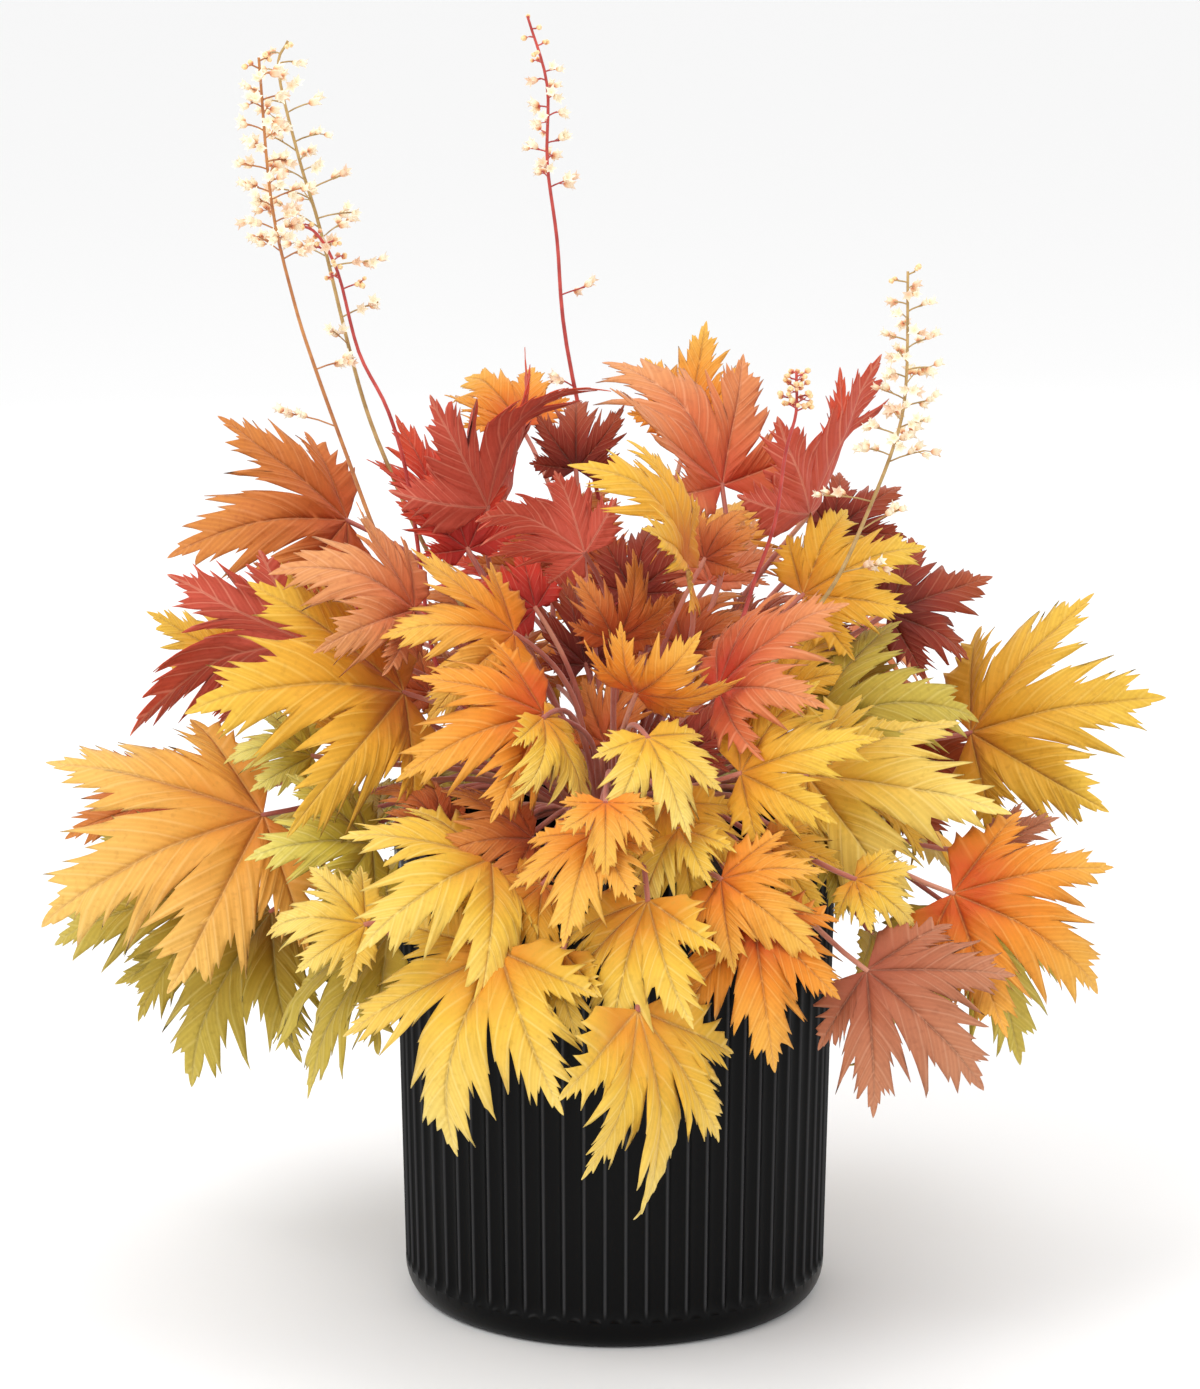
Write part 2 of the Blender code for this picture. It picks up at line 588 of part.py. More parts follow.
def build_flower_stem(name, seed, row, section, collection):
    """A flower stem, with flowers on stalks of their own that turn round it as it rises."""
    points, start, flowers, longest = row
    points = [Vector(point) * CM for point in points]
    foot, leave = crown_exit(points[0])
    arrive = (points[1] - points[0]).normalized()
    route = stalk_route(foot, leave, points[0], arrive, 3)[:-1] + points
    thick, thin = FLOWER_STEM_RADII
    radii = [thick + (thin - thick) * i / (len(route) - 1) for i in range(len(route))]
    stem = tube(name, route, radii, collection)
    stem.data.materials.append(material("flower_stem", (0.45, 0.22, 0.09), 0.6))
    stem.name = name
    rng = random.Random(seed)
    pieces = []
    for flower in range(flowers):
        share = (flower + 0.5) / flowers
        root = point_along(points, start + (1 - start) * share)
        turn = flower * GOLDEN_ANGLE + rng.uniform(-0.3, 0.3)
        out = Vector((math.cos(turn), math.sin(turn), rng.uniform(0.3, 1.0))).normalized()
        reach = CM * longest * (1 - 0.7 * share) * rng.uniform(0.5, 1.0)
        neck = root + out * reach
        hang = (out + Vector((0, 0, -0.6))).normalized()
        radii = (FLOWER_NECK, FLOWER_NECK, FLOWER_MOUTH * rng.uniform(0.85, 1.1))
        pieces.append(tube(
            name + "_flower", (root, neck, neck + hang * FLOWER_LENGTH), radii, collection, section
        ))
    fuse(stem, pieces)


def three_sided_section(collection):
    """A small triangle, the section of a flower and its stalk."""
    curve = bpy.data.curves.new("three_sided", "CURVE")
    spline = curve.splines.new("POLY")
    spline.points.add(2)
    for corner, point in enumerate(spline.points):
        turn = -corner * math.tau / 3
        point.co = (math.cos(turn), math.sin(turn), 0, 1)
    spline.use_cyclic_u = True
    section = place(bpy.data.objects.new("three_sided", curve), collection)
    section.hide_render = True
    return section


def build():
    """Clears the scene and builds every piece."""
    for old in list(bpy.data.objects):
        bpy.data.objects.remove(old)
    plant = fresh_collection("heuchera")
    cutters = fresh_collection("cutters", shown=False)
    build_pot(plant, cutters)
    build_soil(plant)
    build_crown(plant)
    build_leaves(plant)
    section = three_sided_section(cutters)
    for seed, (name, row) in enumerate(FLOWER_STEMS.items()):
        build_flower_stem(name, seed, row, section, plant)
    bpy.data.objects.remove(section)


build()
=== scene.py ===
"""The looks of a potted heuchera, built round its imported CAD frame. Metres, +Z up, the front of
the plant towards -Y. It runs from top to bottom, piece by piece: the studio, the pot, the soil,
the crown, the leaves and the flower stems.
"""

import math
import random

import bpy
import numpy as np
from mathutils import Matrix, Vector


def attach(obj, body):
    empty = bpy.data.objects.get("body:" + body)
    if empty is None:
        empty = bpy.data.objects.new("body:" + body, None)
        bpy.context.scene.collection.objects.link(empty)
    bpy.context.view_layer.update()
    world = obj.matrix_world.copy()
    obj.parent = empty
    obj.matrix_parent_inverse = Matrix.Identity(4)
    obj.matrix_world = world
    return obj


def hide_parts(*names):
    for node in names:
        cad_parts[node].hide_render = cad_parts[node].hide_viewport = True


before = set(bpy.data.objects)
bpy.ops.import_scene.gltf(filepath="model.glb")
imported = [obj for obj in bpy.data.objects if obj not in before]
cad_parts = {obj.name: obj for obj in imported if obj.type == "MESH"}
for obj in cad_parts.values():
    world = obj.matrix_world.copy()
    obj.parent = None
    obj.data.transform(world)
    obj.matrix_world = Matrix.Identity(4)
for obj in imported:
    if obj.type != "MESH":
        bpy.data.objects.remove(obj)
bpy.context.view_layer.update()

# The studio. A pale floor runs back out of sight, and large soft lamps stand all round, so the
# plant has only a faint shadow under it. The camera looks slightly down on the pot.

CM = 0.01
CAMERA_PLACE = (-0.0076, -2.074, 0.744)
CAMERA_PITCH = math.radians(11.8)
CAMERA_LENS = 108.5
FLOOR_SIZE = 60.0
FLOOR_COLOUR = (0.93, 0.93, 0.93, 1.0)
LAMP_TARGET = Vector((0.0, 0.0, 0.3))
# Each lamp: its place, its size and its power
LAMPS = {
    "key_lamp": ((-1.4, -1.8, 2.6), 1.4, 34.0),
    "fill_lamp": ((2.2, -1.8, 1.5), 2.2, 6.0),
    "top_lamp": ((0.2, 0.4, 2.8), 1.6, 12.0),
    "back_lamp": ((-0.6, 2.6, 1.6), 2.0, 6.0),
}


class Field:
    """A socket in a material, with sums written as Python sums."""

    def __init__(self, tree, socket=None):
        self.tree = tree
        self.socket = socket

    def node(self, kind, settings=None, inputs=None, output=0):
        """Adds any node: its settings first, then values or links for its sockets."""
        made = self.tree.nodes.new("ShaderNode" + kind)
        for key, value in (settings or {}).items():
            if key == "stops":
                while len(made.color_ramp.elements) < len(value):
                    made.color_ramp.elements.new(1.0)
                for element, (place, colour) in zip(made.color_ramp.elements, value):
                    element.position = place
                    element.color = (*colour, 1.0)
            else:
                setattr(made, key, value)
        for key, value in (inputs or {}).items():
            if isinstance(value, Field):
                self.tree.links.new(value.socket, made.inputs[key])
            else:
                made.inputs[key].default_value = value
        return Field(self.tree, made.outputs[output])

    def maths(self, operation, *terms):
        return self.node("Math", {"operation": operation}, dict(enumerate(terms)))

    def __add__(self, other):
        return self.maths("ADD", self, other)

    def __sub__(self, other):
        return self.maths("SUBTRACT", self, other)

    def __rsub__(self, other):
        return self.maths("SUBTRACT", other, self)

    def __mul__(self, other):
        return self.maths("MULTIPLY", self, other)

    __radd__ = __add__
    __rmul__ = __mul__

    def axes(self):
        """The three parts of a vector."""
        split = self.node("SeparateXYZ", None, {"Vector": self}).socket.node
        return [Field(self.tree, part) for part in split.outputs]

    def between(self, low, high):
        """0 below low, 1 above high, and a soft step between them."""
        return self.node(
            "MapRange", {"interpolation_type": "SMOOTHSTEP"},
            {"Value": self, "From Min": low, "From Max": high},
        )

    def over(self, colour, share):
        """This colour with another one laid over it, by a share from 0 to 1."""
        return self.node(
            "Mix", {"data_type": "RGBA"}, {0: share, 6: self, 7: colour}, output=2
        )


def new_finish(name, roughness, sheen=0.0, shine=0.5):
    """A material with its main shader. Settings are the same all over the surface."""
    material = bpy.data.materials.new(name)
    material.use_nodes = True
    shader = material.node_tree.nodes["Principled BSDF"]
    shader.inputs["Roughness"].default_value = roughness
    shader.inputs["Sheen Weight"].default_value = sheen
    shader.inputs["Specular IOR Level"].default_value = shine
    return material, Field(material.node_tree), shader


def feed(material, shader, socket, field):
    """Links a field or sets a colour on the main shader."""
    if isinstance(field, Field):
        material.node_tree.links.new(field.socket, shader.inputs[socket])
    else:
        shader.inputs[socket].default_value = field


def coordinates(field):
    """Places on the piece itself, in metres."""
    return field.node("TexCoord", output=3)


def speckle(field, place, scale, detail=3.0, roughness=0.5):
    """Soft random patches from 0 to 1."""
    return field.node("TexNoise", None, {
        "Vector": place, "Scale": scale, "Detail": detail, "Roughness": roughness,
    })


def clear_selection():
    bpy.ops.object.select_all(action="DESELECT")


def only(made):
    """Selects one object alone and makes it the active one."""
    clear_selection()
    made.select_set(True)
    bpy.context.view_layer.objects.active = made


scene = bpy.context.scene
scene.view_settings.view_transform = "Standard"
world = bpy.data.worlds.new("studio")
scene.world = world
world.use_nodes = True
world.node_tree.nodes["Background"].inputs["Color"].default_value = (1.0, 1.0, 1.0, 1.0)
world.node_tree.nodes["Background"].inputs["Strength"].default_value = 1.0

camera = bpy.data.objects.new("camera", bpy.data.cameras.new("camera"))
camera.data.lens = CAMERA_LENS
camera.data.clip_end = 200.0
camera.location = CAMERA_PLACE
camera.rotation_euler = (math.pi / 2 - CAMERA_PITCH, 0.0, 0.0)
scene.collection.objects.link(camera)
scene.camera = camera

for name, (spot, size, power) in LAMPS.items():
    lamp = bpy.data.objects.new(name, bpy.data.lights.new(name, "AREA"))
    lamp.data.size = size
    lamp.data.energy = power
    lamp.location = spot
    aim = LAMP_TARGET - lamp.location
    lamp.rotation_euler = aim.to_track_quat("-Z", "Y").to_euler()
    scene.collection.objects.link(lamp)

clear_selection()
bpy.ops.mesh.primitive_plane_add(size=FLOOR_SIZE)
floor = bpy.context.object
floor.name = "floor"
floor_finish, field, shader = new_finish("floor", 0.9)
feed(floor_finish, shader, "Base Color", FLOOR_COLOUR)
floor.data.materials.append(floor_finish)

# The pot. One turned shell, glazed satin black. Hollow flutes run up its outside between narrow
# ridges, and die out in rounded tips above a plain foot that draws in to the floor.

POT_HEIGHT = 0.240
FOOT_RADIUS = 0.1085
RIM_RADIUS = 0.1125
POT_WALL = 0.0065
POT_FLOOR = 0.010
FOOT_BAND = 0.015
FOOT_UNDERCUT = 0.009
FLUTES = 66
FLUTE_DEPTH = 0.0028
FLUTE_TIP = 0.007
FLUTE_TOP_FADE = 0.004
FLUTE_ROUNDNESS = 0.75
RIM_BAND = 0.012
RIM_EDGE = 0.002
RIM_CHAMFER = 0.0006
INNER_TAPER_TOP = 0.215
BASE_HOLLOW = 0.003
BASE_RING = 0.005
BASE_HOLLOW_EDGE = 0.008
SIDE_HEIGHTS = [0.040, 0.090, 0.150, 0.200]
TIP_STEPS = 6
STEPS_PER_FLUTE = 8
FOOT_STEPS = 7


def side_radius(height):
    """The pot's outer radius over its ridges."""
    share = max(0.0, (height - FOOT_BAND) / (POT_HEIGHT - RIM_BAND - FOOT_BAND))
    return FOOT_RADIUS + (RIM_RADIUS - FOOT_RADIUS) * min(1.0, share)


def bumps(field, strength, distance, height):
    """A fine relief, for a shader's Normal."""
    return field.node("Bump", None, {
        "Strength": strength, "Distance": distance, "Height": height,
    })


# Rows stand close together where the flutes begin and where they die out
heights = [FOOT_BAND + FLUTE_TIP * step / TIP_STEPS for step in range(TIP_STEPS + 1)]
heights += SIDE_HEIGHTS
heights += [POT_HEIGHT - RIM_BAND - 0.005 + 0.001 * step for step in range(6)]
base_radius = FOOT_RADIUS - FOOT_UNDERCUT
profile = [(0.0, BASE_HOLLOW), (base_radius - BASE_HOLLOW_EDGE, BASE_HOLLOW)]
profile += [(base_radius - BASE_RING, 0.0), (base_radius, 0.0)]
for step in range(1, FOOT_STEPS):
    turn = math.pi / 2 * step / FOOT_STEPS
    profile.append((
        FOOT_RADIUS - FOOT_UNDERCUT * (1 - math.sin(turn)), FOOT_BAND * (1 - math.cos(turn)),
    ))
profile += [(side_radius(height), height) for height in heights]
inner_radius = RIM_RADIUS - POT_WALL
profile += [
    (RIM_RADIUS, POT_HEIGHT - RIM_EDGE), (RIM_RADIUS - RIM_CHAMFER, POT_HEIGHT - RIM_CHAMFER),
    (RIM_RADIUS - RIM_EDGE, POT_HEIGHT), (inner_radius + RIM_EDGE, POT_HEIGHT),
    (inner_radius, POT_HEIGHT - RIM_EDGE), (inner_radius, INNER_TAPER_TOP),
    (FOOT_RADIUS - POT_WALL, POT_FLOOR), (0.0, POT_FLOOR),
]

mesh = bpy.data.meshes.new("fluted_pot")
mesh.from_pydata(
    [(radius, 0.0, height) for radius, height in profile],
    [(step, step + 1) for step in range(len(profile) - 1)], [],
)
pot = bpy.data.objects.new("fluted_pot", mesh)
scene.collection.objects.link(pot)
only(pot)
bpy.ops.object.mode_set(mode="EDIT")
bpy.ops.mesh.select_all(action="SELECT")
bpy.ops.mesh.spin(
    steps=FLUTES * STEPS_PER_FLUTE, angle=math.tau, center=(0, 0, 0), axis=(0, 0, 1),
)
bpy.ops.mesh.select_all(action="SELECT")
bpy.ops.mesh.remove_doubles(threshold=1e-5)
bpy.ops.mesh.normals_make_consistent(inside=False)
bpy.ops.object.mode_set(mode="OBJECT")
top_of_flutes = POT_HEIGHT - RIM_BAND
for vertex in pot.data.vertices:
    x, y, z = vertex.co
    radius = math.hypot(x, y)
    if FOOT_BAND < z < top_of_flutes and radius > FOOT_RADIUS - 0.001:
        hollow = abs(math.sin(math.atan2(y, x) * FLUTES / 2)) ** FLUTE_ROUNDNESS
        rise = min(1.0, (z - FOOT_BAND) / FLUTE_TIP, (top_of_flutes - z) / FLUTE_TOP_FADE)
        inwards = FLUTE_DEPTH * hollow * math.sqrt(1 - (1 - rise) ** 2)
        vertex.co.x *= 1 - inwards / radius
        vertex.co.y *= 1 - inwards / radius
bpy.ops.object.shade_smooth_by_angle(angle=math.radians(40))

pot_finish, field, shader = new_finish("satin_black_glaze", 0.3, shine=0.10)
place = coordinates(field)
cloud = speckle(field, place, 35.0)
x, y, z = place.axes()
# The ridges are painted a lighter grey than the flutes: a painted highlight for the lamps'
# reflections along them. It starts just above the foot and, set by angle alone, runs on over the
# plain rim band and the inside wall. The same ridge mask also makes the ridges a little less
# rough.
ripple = field.maths("SINE", field.maths("ARCTAN2", y, x) * (FLUTES / 2))
ridges_and_painted_highlight = 1 - field.maths("ABSOLUTE", ripple).between(0.06, 0.34)
ridges_and_painted_highlight = ridges_and_painted_highlight * z.between(FOOT_BAND + 0.001, FOOT_BAND + FLUTE_TIP)
feed(pot_finish, shader, "Base Color", field.node(
    "ValToRGB", {"stops": ((0.0, (0.0016, 0.0016, 0.0017)), (1.0, (0.045, 0.045, 0.047)))},
    {"Fac": ridges_and_painted_highlight},
))
feed(pot_finish, shader, "Roughness", 0.30 + 0.12 * cloud - 0.12 * ridges_and_painted_highlight)
feed(pot_finish, shader, "Normal", bumps(field, 0.12, 0.0006, speckle(field, place, 420.0)))
pot.data.materials.append(pot_finish)
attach(pot, "root")
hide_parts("pot")

# The soil. Dark loose potting soil that fills the pot to just under its rim. Leaves and stalks
# hide most of it, so the CAD solid stays and only gets its finish.

soil_finish, field, shader = new_finish("potting_soil", 0.95)
place = coordinates(field)
crumbs = speckle(field, place, 260.0, 6.0, 0.7)
soil_colour = field.node("ValToRGB", {"stops": (
    (0.30, (0.010, 0.006, 0.004)), (0.55, (0.040, 0.024, 0.015)), (0.75, (0.11, 0.07, 0.045)),
)}, {"Fac": crumbs})
feed(soil_finish, shader, "Base Color", soil_colour)
feed(soil_finish, shader, "Normal", bumps(field, 0.9, 0.003, crumbs))
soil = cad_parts["soil"]
soil.data.materials.clear()
soil.data.materials.append(soil_finish)

# The crown. The short woody stock that every leaf and flower stem grows from, brown and scaly.
# It sits in the soil, out of sight, so the CAD solid stays here too.

bark_finish, field, shader = new_finish("crown_bark", 0.9)
place = coordinates(field)
scales = field.node("TexVoronoi", None, {"Vector": place, "Scale": 190.0})
bark_colour = field.node("ValToRGB", {"stops": (
    (0.0, (0.20, 0.09, 0.045)), (0.5, (0.10, 0.045, 0.022)), (1.0, (0.03, 0.014, 0.008)),
)}, {"Fac": scales})
feed(bark_finish, shader, "Base Color", bark_colour)
feed(bark_finish, shader, "Normal", bumps(field, 0.8, 0.002, 1 - scales))
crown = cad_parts["crown"]
crown.data.materials.clear()
crown.data.materials.append(bark_finish)

# The leaves. Each is a thin soft blade of five wedge-shaped lobes, cut again into side lobes with
# sharp uneven teeth, and stands on a pink stalk from the crown. Rays leave each lobe's midrib
# like its side veins, and end near the margin that the CAD leaf has, or in a tooth.

CROWN_CENTRE = Vector((0.0, 0.0, 0.221))
CROWN_RADIUS = 0.027
GAP = 0.0003
STALK_LIFT = 0.45
LIFT_BAND = 0.07
LOW_LIFT = 8.0
STALK_BEND = 0.42
STALK_STEPS = 14
STALK_RADII = (0.0017, 0.0013)
BLADE_THICKNESS = 0.0004
RAY_TURN = math.radians(31)
FLANK_RAY_TURN = math.radians(58)
FLANK_ANGLE = math.radians(38)
FLANK_REACH = 0.42
SINUS = 0.34
STALK_OVERLAP = 0.001
# Rows of points before the sinus, and steps from a lobe's midrib to its margin
ROOT_ROWS = 6
ACROSS = 4
# Seeds: the blades' waves, their own tints, and the first of the inner leaves
WAVE_SEED = 1000
TINT_SEED = 5000
FIRST_INNER_SEED = 100

# Lobes: angle in degrees, then length and half width as shares of the leaf's length, and the
# side lobes on its right and left margins
FULL_LEAF = (
    (-86, 0.60, 0.15, 0, 1),
    (-42, 0.86, 0.17, 2, 1),
    (0, 1.00, 0.19, 2, 2),
    (42, 0.86, 0.17, 1, 2),
    (86, 0.60, 0.15, 1, 0),
)
SMALL_LEAF = (
    (-82, 0.58, 0.16, 0, 1),
    (-41, 0.84, 0.18, 1, 1),
    (0, 1.00, 0.20, 1, 1),
    (41, 0.84, 0.18, 1, 1),
    (82, 0.58, 0.16, 1, 0),
)
# Leaves that hang over the pot hold their lobes closer together
NARROW_LEAF = (
    (-64, 0.66, 0.15, 0, 1),
    (-33, 0.86, 0.15, 1, 1),
    (0, 1.00, 0.17, 1, 1),
    (33, 0.86, 0.15, 1, 1),
    (64, 0.66, 0.15, 1, 0),
)
REAR_LEAF = (
    (-80, 0.58, 0.16, 0, 1),
    (-40, 0.84, 0.18, 1, 1),
    (0, 1.00, 0.20, 1, 1),
    (40, 0.84, 0.18, 1, 1),
    (80, 0.58, 0.16, 1, 0),
)
# Margins from the sinus to the tip, as shares of a lobe's length and half width: side lobes
# and the notches beyond them, in turn
MARGINS = {
    0: ((0.62, 1.00), (0.58, 0.56), (0.84, 0.55), (0.80, 0.26)),
    1: ((0.76, 1.15), (0.58, 0.60), (0.88, 0.58), (0.80, 0.28)),
    2: ((0.74, 1.20), (0.56, 0.62), (0.89, 0.62), (0.80, 0.28)),
}
OPEN_FLANK_WIDTH = 0.8
STOP_SPACING = 0.012
NOTCH_CURVE = 1.3
# Teeth on a margin by its side lobes, how far one stands out as a share of the leaf's length,
# how their sizes and places vary, and a tooth's swelling along its own length
TEETH = {0: 5, 1: 7, 2: 8}
TOOTH = 0.036
TOOTH_SIZES = (0.5, 1.6)
TOOTH_SHIFT = 0.3
TOOTH_SWELL = ((0.0, -0.7), (0.25, -0.35), (0.5, 0.05), (0.72, 0.5), (0.88, 1.0))
NARROWEST = 0.0015
# Side veins: the number at the leaf's root, and how far each stands past its tooth's start
FIRST_VEIN = -1.88
VEIN_SHIFT = 0.12
# The lie of a blade: how its lobes curl and twist, then pleats, a sunk midrib and waves
CURL = (-0.7, 0.3)
TWIST = (-0.35, 0.35)
PLEAT = 0.005
MIDRIB_SINK = 0.007
MIDRIB_WIDTH = 0.06
WAVE = 0.012

# Leaves by piece: where the blade starts and where its middle lobe ends in centimetres, then
# in degrees its roll, its cup across and its arch along, its lobes and its colour
LEAVES = {
    "leaf_top_left": [((-6.5, 4, 40), (-3.5, 2, 49), 0, 45, 20, FULL_LEAF, "red")],
    "leaf_top_orange": [((5.5, 5, 41), (1, 8, 49), -10, 30, 20, FULL_LEAF, "salmon")],
    "leaf_top_right": [((10, 5, 39.5), (14, 3, 47.5), 0, 45, 20, FULL_LEAF, "red")],
    "leaf_top_middle": [((-2, 7, 41.5), (-2, 9, 46), 0, 40, 20, SMALL_LEAF, "maroon")],
    "leaf_rear_right": [((4, 13, 43), (5, 16, 48), 0, 20, 20, SMALL_LEAF, "orange")],
    "leaf_rear_left": [((-5, 13, 43), (-8, 17, 46), -10, 20, 20, SMALL_LEAF, "orange")],
    "leaf_right_dark": [((11.5, 11, 37.5), (15.5, 13, 40), 50, -10, 35, SMALL_LEAF, "maroon")],
    "leaf_fan_left": [((-1.5, -4, 39), (-7, -5, 42.5), 60, 30, 25, SMALL_LEAF, "red")],
    "leaf_funnel": [((3.5, -5, 38.5), (0.5, -8, 45.5), -50, 15, 20, FULL_LEAF, "gold")],
    "leaf_far_left": [((-14, 9, 38.5), (-22.5, 4, 39), -60, -10, 35, SMALL_LEAF, "ember")],
    "leaf_left_salmon": [((-10, -3, 36), (-16, -6, 40), -50, -10, 35, SMALL_LEAF, "salmon")],
    "leaves_left": [
        ((-15.5, -1, 34), (-25, 0, 31.5), 60, 20, 20, SMALL_LEAF, "red"),
        ((-20, 0, 21), (-29.5, -2, 19), -60, -10, 35, FULL_LEAF, "olive"),
        ((-17.5, -1, 20), (-22.5, -5, 12), -25, -10, 35, SMALL_LEAF, "olive"),
    ],
    "leaf_left_ember": [((-14.5, 7, 33), (-20.5, 5, 34.5), -50, -10, 35, SMALL_LEAF, "ember")],
    "leaf_left_ember_low": [
        ((-22, 5, 24.5), (-28.5, 2, 23.5), -50, -10, 35, SMALL_LEAF, "ember"),
    ],
    "leaf_left_gold": [((-20, 9, 31), (-24.5, 10, 33), -50, -10, 35, SMALL_LEAF, "gold")],
    "leaf_right_gold": [((9.5, 1, 36), (16, 2, 39), 50, -10, 35, SMALL_LEAF, "gold")],
    "leaf_right_maroon": [((14, 4, 34.5), (19.5, 8, 35.5), 55, -10, 35, SMALL_LEAF, "maroon")],
    "leaf_salmon": [((5, -8, 33), (11, -10, 38), 40, -10, 35, FULL_LEAF, "salmon")],
    "leaf_far_right": [((18.5, 5, 28), (28, 1, 31), 60, -10, 35, FULL_LEAF, "gold")],
    "leaves_right": [
        ((9.5, -2, 29.5), (18.5, -3, 32.5), 50, -10, 35, FULL_LEAF, "olive"),
        ((9.5, -5, 28), (19.5, -7, 26.5), 50, -10, 35, SMALL_LEAF, "yellow"),
        ((17, -2, 20.5), (21, -7, 14), 20, -10, 35, SMALL_LEAF, "olive"),
    ],
    "leaf_right_brown": [((14, 10, 25), (21, 5, 26.5), 50, -10, 35, SMALL_LEAF, "maroon")],
    "leaf_right_mauve": [((19.5, 0, 23), (22.5, -1, 25), 50, -10, 35, SMALL_LEAF, "mauve")],
    "leaves_low_right": [
        ((12, -14, 20.5), (18, -17, 15.5), 50, -10, 35, SMALL_LEAF, "mauve"),
        ((11.5, -12, 24.5), (14.5, -14, 23), 50, -10, 35, SMALL_LEAF, "yellow"),
        ((6, -11, 29.5), (12.5, -13, 32), 60, -10, 35, FULL_LEAF, "gold"),
    ],
    "leaves_centre": [
        ((-3.5, -9, 32), (-10.5, -13, 30.5), -55, -10, 35, FULL_LEAF, "orange"),
        ((-3.5, -10, 32), (-1.5, -11, 27), 0, -25, 50, SMALL_LEAF, "yellow"),
    ],
    "leaves_centre_right": [
        ((1.5, -12, 31.5), (3.5, -15, 27), 10, -10, 35, SMALL_LEAF, "yellow"),
        ((1, -9, 33), (4, -13, 36.5), 140, -10, 35, SMALL_LEAF, "orange"),
    ],
    "leaf_ember": [((0, -6, 35), (1.5, -7, 39.5), 150, -10, 35, SMALL_LEAF, "ember")],
    "leaf_left_orange": [((-5, -4, 35), (-11.5, -7, 36), -50, -10, 35, FULL_LEAF, "orange")],
    "leaf_inner_left": [((-4, 0, 35.5), (-7.5, 2, 37.5), -50, -10, 35, SMALL_LEAF, "red")],
    "leaf_inner_right": [((4.5, 0, 38), (6.5, 1, 41), 25, -10, 35, SMALL_LEAF, "ember")],
    "leaves_big_left": [
        ((-17.5, -5, 26), (-29, -9, 22), -50, -10, 35, FULL_LEAF, "peach"),
        ((-15, -5, 29), (-19.5, -6, 30), -50, -10, 35, SMALL_LEAF, "lime"),
    ],
    "leaves_left_pale": [
        ((-12, -7, 25), (-17.5, -11, 26), -55, -10, 35, SMALL_LEAF, "lime"),
        ((-12, -13, 22.5), (-17.5, -13, 23), -50, -10, 35, SMALL_LEAF, "yellow"),
        ((-11, -11, 21.5), (-18, -6, 15), -50, -10, 35, SMALL_LEAF, "olive"),
    ],
    "leaves_front_left": [
        ((-6, -12, 25.5), (-12, -19, 23.5), -35, -10, 35, FULL_LEAF, "yellow"),
        ((-5.5, -16, 22), (-9.5, -20, 13), -15, -10, 35, FULL_LEAF, "yellow"),
    ],
    "leaves_front_low": [
        ((1, -19, 20), (2.5, -20.5, 9.5), 0, 5, 30, NARROW_LEAF, "yellow"),
        ((-2.5, -16, 22), (-4.5, -18.5, 17), 0, -10, 30, NARROW_LEAF, "yellow"),
        ((1.5, -16, 24.5), (-0.5, -19.5, 17.5), 0, -15, 35, NARROW_LEAF, "yellow"),
        ((-1, -15, 27.5), (-2.5, -19, 23), 0, -10, 35, SMALL_LEAF, "orange"),
        ((-0.5, -15, 29), (-0.5, -18.5, 26.5), 0, 20, 35, SMALL_LEAF, "orange"),
    ],
    "leaves_front_right": [
        ((6.5, -15, 23.5), (7.5, -18, 16.5), 20, -25, 50, FULL_LEAF, "orange"),
        ((5, -14, 25), (9.5, -18, 22.5), 50, -10, 35, SMALL_LEAF, "orange"),
    ],
    "leaves_big_right": [
        ((16.5, -9, 23), (24.5, -12, 19.5), 50, -10, 35, FULL_LEAF, "orange"),
        ((12.5, -9, 21), (14, -9, 13.5), 10, -25, 50, SMALL_LEAF, "olive"),
    ],
    "leaf_back_top_left": [((-3, 13, 35), (-6, 20, 39), 0, 20, 30, REAR_LEAF, "ember")],
    "leaf_back_top_right": [((4, 14, 35), (9, 19, 39), 0, 20, 30, REAR_LEAF, "orange")],
    "leaf_back_left_upper": [((-11, 15, 31), (-18, 20, 32), 0, 0, 35, REAR_LEAF, "ember")],
    "leaf_back_left_lower": [((-12, 11, 23), (-21, 18, 18), 0, 0, 35, REAR_LEAF, "olive")],
    "leaf_back_middle_upper": [((0, 14, 30), (2, 25, 29), 0, 0, 35, REAR_LEAF, "orange")],
    "leaf_back_middle_lower": [((-3, 12, 25), (-3, 21, 16), 0, 0, 35, REAR_LEAF, "yellow")],
    "leaf_back_right_upper": [((11, 20, 29), (18, 20, 30), 0, 0, 35, REAR_LEAF, "salmon")],
    "leaf_back_right_lower": [((12, 15, 22), (20, 21, 17), 0, 0, 35, REAR_LEAF, "gold")],
    "leaf_left_fold": [((-10.5, -4, 32), (-20.5, -10, 33.5), -50, -10, 35, FULL_LEAF, "gold")],
}

